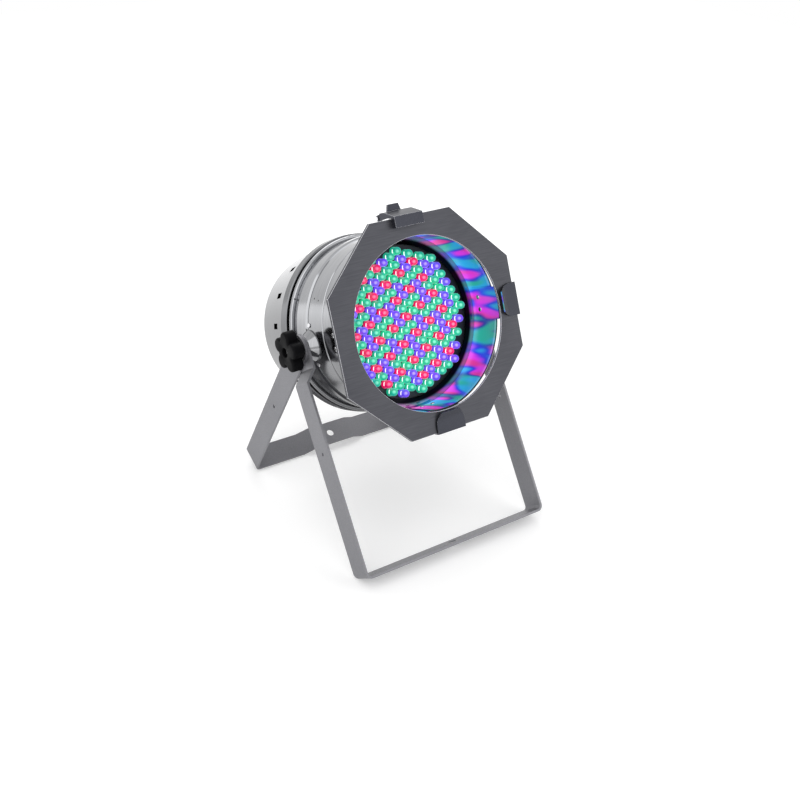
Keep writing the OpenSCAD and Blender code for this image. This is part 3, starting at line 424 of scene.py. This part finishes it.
def thrownLightMaterial(name, look):
    made, nodes, links, body = shaderStart(name)
    body.inputs["Metallic"].default_value = 1.0
    body.inputs["Base Color"].default_value = (*look["metal"], 1)
    body.inputs["Roughness"].default_value = look["rough"]
    split = nodes.new("ShaderNodeSeparateXYZ")
    links.new(lampAxes(nodes, links, axisPoint), split.inputs[0])
    flat = nodes.new("ShaderNodeCombineXYZ")
    links.new(split.outputs["X"], flat.inputs["X"])
    links.new(split.outputs["Z"], flat.inputs["Y"])
    unit = addNode(nodes, "ShaderNodeVectorMath", operation="NORMALIZE")
    links.new(flat.outputs[0], unit.inputs[0])
    around = addNode(nodes, "ShaderNodeVectorMath", operation="SCALE")
    around.inputs["Scale"].default_value = look["streaks"]
    links.new(unit.outputs[0], around.inputs[0])
    depth = addNode(nodes, "ShaderNodeMath", operation="MULTIPLY")
    depth.inputs[1].default_value = look["along"]
    links.new(split.outputs["Y"], depth.inputs[0])
    lengthwise = nodes.new("ShaderNodeCombineXYZ")
    links.new(depth.outputs[0], lengthwise.inputs["Z"])
    place = addNode(nodes, "ShaderNodeVectorMath", operation="ADD")
    links.new(around.outputs[0], place.inputs[0])
    links.new(lengthwise.outputs[0], place.inputs[1])
    streak = nodes.new("ShaderNodeTexNoise")
    streak.inputs["Scale"].default_value = 1.0
    streak.inputs["Detail"].default_value = look["detail"]
    links.new(place.outputs[0], streak.inputs["Vector"])
    parts = nodes.new("ShaderNodeSeparateColor")
    links.new(streak.outputs["Color"], parts.inputs["Color"])
    mixed = nodes.new("ShaderNodeCombineColor")
    for channel in ("Red", "Green", "Blue"):
        # red and green patches keep apart, and blue lies over both
        patch = addNode(nodes, "ShaderNodeMapRange", interpolation_type="SMOOTHSTEP")
        setRange(patch, *look[channel.lower()])
        links.new(parts.outputs["Blue" if channel == "Blue" else "Red"], patch.inputs["Value"])
        links.new(patch.outputs["Result"], mixed.inputs[channel])
    links.new(mixed.outputs["Color"], body.inputs["Emission Color"])
    fade = nodes.new("ShaderNodeMapRange")
    setRange(fade, *look["fade"], look["glow"] * look["dimmest"], look["glow"])
    links.new(split.outputs["Y"], fade.inputs["Value"])
    links.new(fade.outputs["Result"], body.inputs["Emission Strength"])
    return made


materials["thrownLight"] = thrownLightMaterial("thrownLight", thrownLight)
ringLook = {"blackTo": 0.0975, "brightFrom": 0.1015, "rough": 0.12,
            "black": (0.006, 0.006, 0.008), "bright": (0.34, 0.34, 0.4)}


def ringMaterial(name, look):
    # Painted black next to the lamps and bare metal at the wall, whose light it mirrors
    made, nodes, links, body = shaderStart(name)
    body.inputs["Metallic"].default_value = 1.0
    body.inputs["Roughness"].default_value = look["rough"]
    flat = addNode(nodes, "ShaderNodeVectorMath", operation="MULTIPLY")
    flat.inputs[1].default_value = (1, 0, 1)
    links.new(lampAxes(nodes, links, axisPoint), flat.inputs[0])
    radius = addNode(nodes, "ShaderNodeVectorMath", operation="LENGTH")
    links.new(flat.outputs[0], radius.inputs[0])
    edge = addNode(nodes, "ShaderNodeMapRange", interpolation_type="SMOOTHSTEP")
    setRange(edge, look["blackTo"], look["brightFrom"], 0, 1)
    links.new(radius.outputs["Value"], edge.inputs["Value"])
    tone = addNode(nodes, "ShaderNodeMix", data_type="RGBA")
    tone.inputs[6].default_value = (*look["black"], 1)
    tone.inputs[7].default_value = (*look["bright"], 1)
    links.new(edge.outputs["Result"], tone.inputs[0])
    links.new(tone.outputs[2], body.inputs["Base Color"])
    return made


materials["ringPaint"] = ringMaterial("ringPaint", ringLook)
finishNode("led_ring", "ringPaint")
bodyOf = {node: body for body, nodes in record["behaviour"]["bodies"].items() for node in nodes}
# In metres: the ring's play in the wall, how far the lit wall reaches out and back, the groove at the seam,
# and how near two points of a CAD mesh are merged; the angle in degrees; inner and outer are shares of a face's
# normal that point away from the axis, below and above which it counts as inner or outer wall
skin = {"play": 0.0003, "litDepth": 0.0022, "litBack": 0.002, "seamFront": -0.0435, "grooveWide": 0.0045,
        "grooveDepth": 0.0008, "weld": 0.00001, "sharpAngle": 28,
        "inner": 0.2, "outer": 0.5}
wallRadius = (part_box("led_ring")[1][0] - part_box("led_ring")[0][0]) / 2 + skin["play"]
boardFace = (axisPoint - pivot).dot(fore) - skin["litBack"]


def mergedCopy(cad, flatten=None):
    # The CAD mesh is loose triangles: its copy is merged, and its faces are joined where they are flat
    copied = cad.data.copy()
    work = bmesh.new()
    work.from_mesh(copied)
    bmesh.ops.remove_doubles(work, verts=work.verts, dist=skin["weld"])
    if flatten:
        bmesh.ops.dissolve_limit(work, angle_limit=math.radians(flatten), verts=work.verts, edges=work.edges)
    work.to_mesh(copied)
    work.free()
    for layer in [a for a in copied.attributes if a.name == "custom_normal"]:
        copied.attributes.remove(layer)
    copied.polygons.foreach_set("use_smooth", [True] * len(copied.polygons))
    return copied


def skinOf(node, name, choose, extra):
    # A smooth copy of a spun CAD node whose faces take their finish by radius, distance ahead and facing
    cad = frame["nodes"][node]
    copied = mergedCopy(cad)
    chosen = []
    for face in copied.polygons:
        spot = face.center - pivot
        flat = Vector((spot.x, spot.dot(rise) - axisRise))
        outward = face.normal.x * flat.x + face.normal.dot(rise) * flat.y
        chosen.append(choose(flat.length, spot.dot(fore), outward / max(flat.length, 1e-6)))
    copied.set_sharp_from_angle(angle=math.radians(skin["sharpAngle"]))
    piece = addPiece(name, copied, cad.data.materials[0])
    for finish in extra:
        copied.materials.append(materials[finish])
    copied.polygons.foreach_set("material_index", chosen)
    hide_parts(node)
    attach(piece, bodyOf[node])


# Lamps, from a Geometry Nodes field on the lattice of the CAD's lamps
lensField = {"pitch": 0.01183, "turn": -65.5, "firstX": 0.00467, "firstUp": 0.00537, "reach": 0.087,
             "radius": 0.005, "height": 0.0135, "collar": 0.0006, "sides": 12, "rings": 3,
             "collarHigh": 0.0011, "underDome": 0.0007, "rough": 0.07, "coat": 0.5, "coatRough": 0.03,
             # the glint keys give the painted white glint's height, width, facing, tone and power; paintedRimStops
             # the painted lighter rim
             "glint": 0.4, "glintHalf": 0.12, "glintFacing": (0.48, 0.44), "glintTone": (1.0, 0.97, 1.0),
             "glintPower": 3, "rimBlend": 0.5, "paintedRimStops": (0.14, 0.55, 0.8),
             "baseDrop": 0.002,  # from the ring's middle back to the board's face
             "pink": ((0.8, 0.004, 0.09), (1.0, 0.16, 0.3)), "teal": ((0.012, 0.42, 0.22), (0.16, 0.72, 0.46)),
             "violet": ((0.13, 0.06, 0.68), (0.36, 0.26, 0.95)), "glow": 0.66,
             "rimTeal": ((-6, -3), (-6, -2), (-6, 1), (2, -6), (6, 4)),
             "rimViolet": ((-2, -6), (0, -6), (4, -5), (7, -2)), "lastStep": 9}


def lensKind(i, j):
    if (i, j) in lensField["rimTeal"]:
        return "teal"
    if (i, j) in lensField["rimViolet"]:
        return "violet"
    if i % 2 == 0 and j % 2 == 0:
        return "pink"
    if j % 2 == 0:
        return "teal"
    if i % 2 != 0:
        return "teal" if (i - j) % 4 == 0 else "violet"
    return "teal" if i % 4 == 0 and j % 4 == 3 else "violet"


def bandFaces(rows, count, closed=False):
    # Four-sided faces between rings of points that lie one after another
    last = rows if closed else rows - 1
    return [(row * count + k, row * count + (k + 1) % count, (row + 1) % rows * count + (k + 1) % count,
             (row + 1) % rows * count + k) for row in range(last) for k in range(count)]


def plainMesh(name, points, faces, smooth=True):
    made = bpy.data.meshes.new(name)
    made.from_pydata([tuple(p) for p in points], [], faces)
    made.validate()
    if smooth:
        made.polygons.foreach_set("use_smooth", [True] * len(made.polygons))
    return made


def addPiece(name, mesh, material):
    piece = bpy.data.objects.new(name, mesh)
    if material:
        mesh.materials.clear()
        mesh.materials.append(material)
    bpy.context.scene.collection.objects.link(piece)
    return piece


def lensMesh(field):
    # Profile of one lens: collar, barrel and dome, turned about Z
    r, h = field["radius"], field["height"]
    profile = [(r + field["collar"], 0), (r, field["collarHigh"]), (r, h - r - field["underDome"]), (r, h - r)]
    profile += [(r * math.cos(a), h - r + r * math.sin(a)) for a in
                [math.radians(90 * k / (field["rings"] + 1)) for k in range(1, field["rings"] + 1)]]
    count = field["sides"]
    points = [(p[0] * math.cos(2 * math.pi * k / count), p[0] * math.sin(2 * math.pi * k / count), p[1])
              for p in profile for k in range(count)]
    points.append((0, 0, h))
    faces = bandFaces(len(profile), count)
    last = (len(profile) - 1) * count
    faces += [(last + k, last + (k + 1) % count, len(points) - 1) for k in range(count)]
    made = plainMesh("lens", points, faces)
    heights = made.attributes.new("lensHeight", "FLOAT", "POINT")
    for vertex, value in zip(made.vertices, heights.data):
        value.value = vertex.co.z / h
    return made


def startTree(name, inputs):
    # A node group with one geometry in and out, and named inputs between them
    tree = bpy.data.node_groups.new(name, "GeometryNodeTree")
    tree.interface.new_socket("Geometry", in_out="INPUT", socket_type="NodeSocketGeometry")
    for label, kind in inputs:
        tree.interface.new_socket(label, in_out="INPUT", socket_type=kind)
    tree.interface.new_socket("Geometry", in_out="OUTPUT", socket_type="NodeSocketGeometry")
    return tree, tree.nodes, tree.links


def setInput(modifier, label, value):
    for item in modifier.node_group.interface.items_tree:
        if item.item_type == "SOCKET" and item.in_out == "INPUT" and item.name == label:
            modifier[item.identifier] = value


def facingTree():
    # One piece on every point, its Z along the point's own "facing"
    tree, nodes, links = startTree("placedPieces", [
        ("Piece", "NodeSocketObject"), ("Scale", "NodeSocketFloat"), ("Finish", "NodeSocketMaterial")])
    groupIn = nodes.new("NodeGroupInput")
    groupOut = nodes.new("NodeGroupOutput")
    piece = nodes.new("GeometryNodeObjectInfo")
    facing = addNode(nodes, "GeometryNodeInputNamedAttribute", data_type="FLOAT_VECTOR")
    facing.inputs["Name"].default_value = "facing"
    turn = addNode(nodes, "FunctionNodeAlignRotationToVector", axis="Z")
    onPoints = nodes.new("GeometryNodeInstanceOnPoints")
    realize = nodes.new("GeometryNodeRealizeInstances")
    setFinish = nodes.new("GeometryNodeSetMaterial")
    links.new(groupIn.outputs["Piece"], piece.inputs["Object"])
    links.new(groupIn.outputs["Geometry"], onPoints.inputs["Points"])
    links.new(piece.outputs["Geometry"], onPoints.inputs["Instance"])
    links.new(facing.outputs["Attribute"], turn.inputs["Vector"])
    links.new(turn.outputs["Rotation"], onPoints.inputs["Rotation"])
    links.new(groupIn.outputs["Scale"], onPoints.inputs["Scale"])
    links.new(onPoints.outputs["Instances"], realize.inputs["Geometry"])
    links.new(realize.outputs["Geometry"], setFinish.inputs["Geometry"])
    links.new(groupIn.outputs["Finish"], setFinish.inputs["Material"])
    links.new(setFinish.outputs["Geometry"], groupOut.inputs["Geometry"])
    return tree


placedPieces = facingTree()


def settle(piece, name):
    # The evaluated result becomes a plain mesh object at the origin
    bpy.context.view_layer.update()
    result = bpy.data.meshes.new_from_object(piece.evaluated_get(bpy.context.evaluated_depsgraph_get()))
    bpy.data.objects.remove(piece)
    result.name = name
    made = bpy.data.objects.new(name, result)
    bpy.context.scene.collection.objects.link(made)
    return made


def placePieces(name, pattern, spots, finish, scale=1.0):
    # spots are pairs of place and facing direction
    cloud = addPiece(name + "Points", plainMesh(name + "Points", [place for place, _ in spots], [], False), None)
    facing = cloud.data.attributes.new("facing", "FLOAT_VECTOR", "POINT")
    for item, (_, direction) in zip(facing.data, spots):
        item.vector = direction
    source = addPiece(name + "Pattern", pattern, None)
    modifier = cloud.modifiers.new("placed", "NODES")
    modifier.node_group = placedPieces
    setInput(modifier, "Piece", source)
    setInput(modifier, "Scale", scale)
    setInput(modifier, "Finish", finish)
    made = settle(cloud, name)
    bpy.data.objects.remove(source)
    return made


lensPlaces = {"pink": [], "teal": [], "violet": []}
lowest = (axisPoint - pivot).dot(fore) - lensField["baseDrop"]
span = int(lensField["reach"] / lensField["pitch"]) + 2
turnAngle = math.radians(lensField["turn"])
for i in range(-span, span + 1):
    for j in range(-span, span + 1):
        x = lensField["firstX"] + lensField["pitch"] * (i * math.cos(turnAngle) + j * math.sin(turnAngle))
        u = lensField["firstUp"] + lensField["pitch"] * (i * math.sin(turnAngle) - j * math.cos(turnAngle))
        if math.hypot(x, u) <= lensField["reach"] and i - j <= lensField["lastStep"]:
            lensPlaces[lensKind(i, j)].append(onAxis(x, lowest, u))
for kind, node in (("pink", "red_leds"), ("teal", "green_leds"), ("violet", "blue_leds")):
    glowing = lensMaterial(kind + "Lens", *lensField[kind], lensField["glow"])
    lenses = placePieces(kind + "Lenses", lensMesh(lensField), [(p, fore) for p in lensPlaces[kind]], glowing)
    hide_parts(node)
    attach(lenses, "lamp")
print("stage: lamps", {kind: len(places) for kind, places in lensPlaces.items()})


# CAD nodes with their edges broken, as bent and cut sheet has: width in metres and the edge's finish
# On the frames, clips and latch the edge's finish is bright bare metal: partly the cut sheet's own metal, partly a
# painted highlight along the edge
edgeBreaks = {"front_yoke": (0.0006, "satinSteel"), "rear_yoke": (0.0006, "satinSteel"),
              "gel_frame_front": (0.0003, "cutEdgeAndHighlight"), "gel_frame_back": (0.0003, "cutEdgeAndHighlight"),
              "clip_left": (0.0003, "cutEdgeAndHighlight"), "clip_right": (0.0003, "cutEdgeAndHighlight"), "clip_bottom": (0.0003, "cutEdgeAndHighlight"),
              "latch_arm": (0.0003, "cutEdgeAndHighlight"), "latch_bracket": (0.0003, "cutEdgeAndHighlight"),
              "gland_nut": (0.0006, None), "display": (0.0004, None),
              "clip_rivets": (0.0007, None), "pivot_rivets": (0.0007, None), "pivot_bolts": (0.0005, None),
              "menu_key_a": (0.0004, None), "menu_key_b": (0.0004, None), "menu_key_c": (0.0004, None),
              "menu_key_d": (0.0004, None)}
edgeCut = {"flat": 1.0, "angle": 35, "steps": 2}  # degrees, and steps across the edge
litFeet = ["clip_left", "clip_right", "clip_bottom"]


def camelName(node):
    first, *rest = node.split("_")
    return first + "".join(word.capitalize() for word in rest)


def breakEdges(node, width, edgeFinish):
    cad = frame["nodes"][node]
    copied = mergedCopy(cad, edgeCut["flat"])
    piece = addPiece(camelName(node), copied, cad.data.materials[0])
    rounding = piece.modifiers.new("rounding", "BEVEL")
    rounding.width = width
    rounding.segments = edgeCut["steps"]
    rounding.limit_method = "ANGLE"
    rounding.angle_limit = math.radians(edgeCut["angle"])
    rounding.harden_normals = False
    if edgeFinish:
        copied.materials.append(materials[edgeFinish])
        rounding.material = 1
    if node in litFeet:
        # the clip's foot lies in the lamps' light, inside the can
        copied.materials.append(materials["thrownLight"])
        for face in copied.polygons:
            spot = face.center - pivot
            out = Vector((spot.x, spot.dot(rise) - axisRise))
            outward = out.dot((face.normal.x, face.normal.dot(rise)))
            if out.length < wallRadius and outward < skin["inner"] * out.length:
                face.material_index = 2
    even = piece.modifiers.new("even", "WEIGHTED_NORMAL")
    even.keep_sharp = False
    made = settle(piece, camelName(node))
    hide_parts(node)
    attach(made, bodyOf[node])


for node, (width, edgeFinish) in edgeBreaks.items():
    breakEdges(node, width, edgeFinish)
print("stage: edges broken on", len(edgeBreaks), "nodes")


def litWall(radius, ahead, outward):
    return int(radius < wallRadius + skin["litDepth"] and ahead > boardFace and outward < skin["inner"])


# painted shade: faces on the floor of the groove at the seam take the black finish, a dark line in the gap between
# can and housing
def seamGrooveShade(radius, ahead, outward):
    return int(radius < wallRadius + skin["grooveDepth"] and ahead > skin["seamFront"] - skin["grooveWide"]
               and outward > skin["outer"])


skinOf("front_can", "frontCan", litWall, ["thrownLight"])
skinOf("rear_housing", "rearHousing", seamGrooveShade, ["blackMetal"])
skinOf("pivot_spacers", "pivotBosses", lambda *spot: 0, [])
print("stage: can, housing and bosses")


# The moulded knobs
# Core and lobe are shares of the knob's reach; the rest is in metres, and around is the points of a ring
knobShape = {"core": 0.65, "lobe": 0.36, "lobes": 5, "body": 0.0146, "hub": 0.013, "recess": 0.006,
             "recessDeep": 0.0042, "recessEdge": 0.0006, "edgeDeep": 0.0005, "bore": 0.0044, "under": 0.001,
             "round": 0.0026, "blend": 0.0012, "around": 150, "roundSteps": 5, "sharpAngle": 40}


def lobedRadius(angle, reach, less):
    # The core and the lobes, joined with a small fillet
    core, lobe = knobShape["core"] * reach - less, knobShape["lobe"] * reach - less
    out = reach - knobShape["lobe"] * reach
    best = 0.0
    for k in range(knobShape["lobes"]):
        apart = angle - 2 * math.pi * k / knobShape["lobes"]
        off = out * math.sin(apart)
        if abs(off) < lobe and math.cos(apart) > 0:
            best = max(best, out * math.cos(apart) + math.sqrt(lobe ** 2 - off ** 2))
    near = max(0.0, knobShape["blend"] - abs(core - best)) / knobShape["blend"]
    return max(core, best) + near ** 2 * knobShape["blend"] / 4


def makeKnob(node):
    low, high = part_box(node)
    way = -1 if low[0] < 0 else 1
    inner, thick = (high[0] if way < 0 else low[0]), high[0] - low[0]
    tips = [(math.hypot(v.co.y - pivot.y, v.co.z - pivot.z), v.co.y - pivot.y, v.co.z - pivot.z)
            for v in frame["nodes"][node].data.vertices]
    reach, y, z = max(tips)
    start = math.atan2(z, y)  # a lobe of the CAD knob points this way
    base, soft, under = thick - knobShape["body"], knobShape["round"], knobShape["under"]
    steps = knobShape["roundSteps"]
    # Rows from the bore round the hub and the lobes to the recess: height, radius or None, how far in from the lobes
    rows = [(thick - knobShape["recessDeep"], knobShape["bore"], None), (0, knobShape["bore"], None),
            (0, knobShape["hub"], None), (base, knobShape["hub"], None), (base, None, under),
            (base + under, None, 0), (thick - soft, None, 0)]
    rows += [(thick - soft + soft * math.sin(a), None, soft * (1 - math.cos(a)))
             for a in (math.radians(90 * k / steps) for k in range(1, steps + 1))]
    rows += [(thick, knobShape["recess"] + knobShape["recessEdge"], None),
             (thick - knobShape["edgeDeep"], knobShape["recess"], None),
             (thick - knobShape["recessDeep"], knobShape["recess"], None)]
    count = knobShape["around"]
    points = []
    for ahead, radius, less in rows:
        for k in range(count):
            angle = 2 * math.pi * k / count
            r = radius if less is None else lobedRadius(angle, reach, less)
            points.append((inner + way * ahead, pivot.y + r * math.cos(start + angle),
                           pivot.z + r * math.sin(start + angle)))
    made = plainMesh(camelName(node), points, bandFaces(len(rows), count, True))
    work = bmesh.new()
    work.from_mesh(made)
    bmesh.ops.recalc_face_normals(work, faces=work.faces)
    work.to_mesh(made)
    work.free()
    made.set_sharp_from_angle(angle=math.radians(knobShape["sharpAngle"]))
    knob = addPiece(camelName(node), made, materials["blackPlastic"])
    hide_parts(node)
    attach(knob, bodyOf[node])


makeKnob("knob_left")
makeKnob("knob_right")
print("stage: knobs")


# Spot weld marks, placed by the photograph's points
# The radius and the rim's height in metres; crest and hollow are shares of the radius, floor one of the rim
weldMark = {"radius": 0.0013, "rim": 0.00012, "sunk": 0.0001, "crest": (0.86, 0.6), "hollow": 0.35, "floor": 0.2,
            "sides": 12}


def surfaceSpot(name, carrier):
    # Where the camera's ray through an image point meets the carrier, and which way its surface faces there
    x, y = imagePoints[name]
    data = photoCamera.data
    ray = Vector((x - photoSize / 2 + data.shift_x * photoSize, photoSize / 2 - y + data.shift_y * photoSize,
                  -photoSize * data.lens / data.sensor_width))
    start = photoCamera.matrix_world.translation
    ray = (photoCamera.matrix_world.to_3x3() @ ray).normalized()
    corners = [v.co for v in carrier.data.vertices]
    tree = BVHTree.FromPolygons(corners, [list(p.vertices) for p in carrier.data.polygons])
    place, normal, _, _ = tree.ray_cast(start, ray)
    if place is None:
        nearest = min(corners, key=lambda corner: (corner - start).cross(ray).length)
        place, normal, _, _ = tree.find_nearest(nearest)
    return place, normal


def markMesh(look):
    # The shallow crater that a spot weld leaves
    r, h = look["radius"], look["rim"]
    rows = [(r, -look["sunk"])] + [(r * share, h) for share in look["crest"]]
    rows.append((r * look["hollow"], h * look["floor"]))
    count = look["sides"]
    points = [(p * math.cos(2 * math.pi * k / count), p * math.sin(2 * math.pi * k / count), up)
              for p, up in rows for k in range(count)]
    faces = bandFaces(len(rows), count)
    faces += [tuple(3 * count + k for k in range(count)), tuple(reversed(range(count)))]
    return plainMesh("weldMark", points, faces)


can = bpy.data.objects["frontCan"]
markSpots = {name: surfaceSpot(name, can) for name in ("weldMarkAhead", "weldMarkBehind", "weldMarkSeam")}
spots = list(markSpots.values())
spots += [(Vector((-place.x, place.y, place.z)), Vector((-facing.x, facing.y, facing.z))) for place, facing in spots]
weldMarks = placePieces("weldMarks", markMesh(weldMark), spots, materials["weldGrey"])
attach(weldMarks, "lamp")
print("stage: weld marks")


# The latch's spring: a wire along a coiled path
# In metres: thickness, coil radius, half its width, the foot down to the can, the leg's reach ahead and across
springWire = {"wire": 0.001, "radius": 0.0028, "turns": 7.25, "steps": 20, "half": 0.004, "foot": 0.0145,
              "reach": 0.008, "across": 0.012, "bend": 0.0006, "footIn": 0.0005, "sides": 8}


def wireTree():
    tree, nodes, links = startTree("wireAlongPath", [("Wire", "NodeSocketFloat"), ("Finish", "NodeSocketMaterial")])
    groupIn = nodes.new("NodeGroupInput")
    groupOut = nodes.new("NodeGroupOutput")
    path = nodes.new("GeometryNodeMeshToCurve")
    profile = nodes.new("GeometryNodeCurvePrimitiveCircle")
    profile.inputs["Resolution"].default_value = springWire["sides"]
    sweep = nodes.new("GeometryNodeCurveToMesh")
    sweep.inputs["Fill Caps"].default_value = True
    smooth = nodes.new("GeometryNodeSetShadeSmooth")
    realize = nodes.new("GeometryNodeRealizeInstances")
    setFinish = nodes.new("GeometryNodeSetMaterial")
    links.new(groupIn.outputs["Geometry"], path.inputs["Mesh"])
    links.new(groupIn.outputs["Wire"], profile.inputs["Radius"])
    links.new(path.outputs["Curve"], sweep.inputs["Curve"])
    links.new(profile.outputs["Curve"], sweep.inputs["Profile Curve"])
    links.new(sweep.outputs["Mesh"], smooth.inputs["Geometry"])
    links.new(smooth.outputs["Geometry"], realize.inputs["Geometry"])
    links.new(realize.outputs["Geometry"], setFinish.inputs["Geometry"])
    links.new(groupIn.outputs["Finish"], setFinish.inputs["Material"])
    links.new(setFinish.outputs["Geometry"], groupOut.inputs["Geometry"])
    return tree


def coilPath(look):
    # In metres from the hinge pin's middle: to the right, ahead, up
    points = [(look["half"] - look["footIn"], -look["radius"], -look["foot"] + look["radius"])]
    last = int(look["steps"] * look["turns"])
    for k in range(last + 1):
        turned = 2 * math.pi * k / look["steps"]
        points.append((look["half"] * (1 - 2 * k / last), -look["radius"] * math.cos(turned),
                       look["radius"] * math.sin(turned)))
    points.append((-look["half"], look["reach"], look["radius"]))
    points.append((-look["half"] - look["bend"], look["reach"] + look["bend"], look["radius"]))
    points.append((-look["half"] - look["across"], look["reach"] + look["bend"], look["radius"]))
    pin = Vector(joints["latch_lift"]["pos_m"])
    return [pin + side * x + fore * f + rise * u for x, f, u in points]


path = coilPath(springWire)
wire = addPiece("latchSpringPath", bpy.data.meshes.new("latchSpringPath"), None)
wire.data.from_pydata([tuple(p) for p in path], [(k, k + 1) for k in range(len(path) - 1)], [])
bending = wire.modifiers.new("wire", "NODES")
bending.node_group = wireTree()
setInput(bending, "Wire", springWire["wire"] / 2)
setInput(bending, "Finish", materials["zincPlate"])
spring = settle(wire, "latchSpring")
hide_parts("latch_spring")
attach(spring, "lamp")


# Screws with a cross recess, in the seam and at the sockets
screwHeads = {"seam": {"radius": 0.0019, "height": 0.0017, "angles": (62, 118, 242, 298), "base": 0.10378,
                       "ahead": -0.04565},
              "socket": {"radius": 0.0026, "height": 0.0014, "across": 0.0095, "up": 0.012}}


# Shares of a head's radius or height: the cross, the rounded shoulder as (radius, height), the recess's floor
screwCross = {"arm": 0.55, "half": 0.14, "shoulder": ((1, 0.5), (0.82, 0.92)), "floor": 0.45, "sunk": 0.0002}


def screwMesh(radius, height):
    arm, half = radius * screwCross["arm"], radius * screwCross["half"]
    cross = [(arm, -half), (arm, half), (half, half), (half, arm), (-half, arm), (-half, half), (-arm, half),
             (-arm, -half), (-half, -half), (-half, -arm), (half, -arm), (half, -half)]
    outline = [(math.cos(math.atan2(y, x)), math.sin(math.atan2(y, x))) for x, y in cross]
    rows = [[(c * radius, s * radius, -screwCross["sunk"]) for c, s in outline]]
    for wide, high in screwCross["shoulder"]:
        rows.append([(c * radius * wide, s * radius * wide, height * high) for c, s in outline])
    rows += [[(x, y, up) for x, y in cross] for up in (height, height * screwCross["floor"])]
    points = [p for row in rows for p in row]
    count = len(cross)
    faces = bandFaces(len(rows), count)
    faces += [tuple(4 * count + k for k in range(count)), tuple(reversed(range(count)))]
    made = plainMesh("screw", points, faces, False)
    made.shade_flat()
    return made


seam = screwHeads["seam"]
spots = []
for angle in seam["angles"]:
    out = side * math.cos(math.radians(angle)) + rise * math.sin(math.radians(angle))
    spots.append((onAxis(0, seam["ahead"], 0) + out * seam["base"], out))
seamScrews = placePieces("seamScrews", screwMesh(seam["radius"], seam["height"]), spots, materials["blackMetal"])
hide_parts("seam_screws")
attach(seamScrews, "lamp")
small = screwHeads["socket"]
spots = []
for mount in record["mounts"]:
    if mount["name"] in ("data_in", "data_out"):
        for way in (-1, 1):
            spots.append((Vector(mount["pos_m"]) + side * way * small["across"] - rise * way * small["up"], -fore))
socketScrews = placePieces("socketScrews", screwMesh(small["radius"], small["height"]), spots, materials["zincPlate"])
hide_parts("socket_screws")
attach(socketScrews, "lamp")
print("stage: spring and screws")


# Half the octagon's width and of one of its flats, and its face ahead of the middle
frameOutline = {"half": 0.127, "flat": 0.056, "face": 0.002}


def toImage(point):
    local = photoCamera.matrix_world.inverted() @ Vector(point)
    scale = photoSize * cameraFit["lens"] / cameraFit["sensor"]
    return (photoSize / 2 + scale * local.x / -local.z, photoSize / 2 - scale * local.y / -local.z)


def writePoints():
    low = [math.inf, math.inf]
    high = [-math.inf, -math.inf]
    for item in bpy.context.scene.objects:
        if item.type != "MESH" or item.name == "floor" or item.hide_render:
            continue
        for vertex in item.data.vertices:
            u, v = toImage(item.matrix_world @ vertex.co)
            low = [min(low[0], u), min(low[1], v)]
            high = [max(high[0], u), max(high[1], v)]
    mounts = {m["name"]: m for m in record["mounts"]}
    centre = middle("gel_frame_front")
    frameFace = (centre - pivot).dot(fore) + frameOutline["face"]
    frameRise = (centre - pivot).dot(rise) - axisRise
    half, flat = frameOutline["half"], frameOutline["flat"]
    spots = {"frameTopLeft": onAxis(-flat, frameFace, frameRise + half),
             "frameTopRight": onAxis(flat, frameFace, frameRise + half),
             "frameRightUpper": onAxis(half, frameFace, frameRise + flat),
             "frameRightLower": onAxis(half, frameFace, frameRise - flat),
             "frameBottomRight": onAxis(flat, frameFace, frameRise - half),
             "frameBottomLeft": onAxis(-flat, frameFace, frameRise - half),
             "rearHangingHole": mounts["rear_hanging_hole"]["pos_m"],
             "frontHangingHole": mounts["front_hanging_hole"]["pos_m"],
             "leftKnobMiddle": Vector((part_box("knob_left")[0][0], pivot.y, pivot.z))}
    spots.update({name: place for name, (place, _) in markSpots.items()})
    for name, spot in spots.items():
        u, v = toImage(spot)


bpy.context.view_layer.update()
writePoints()
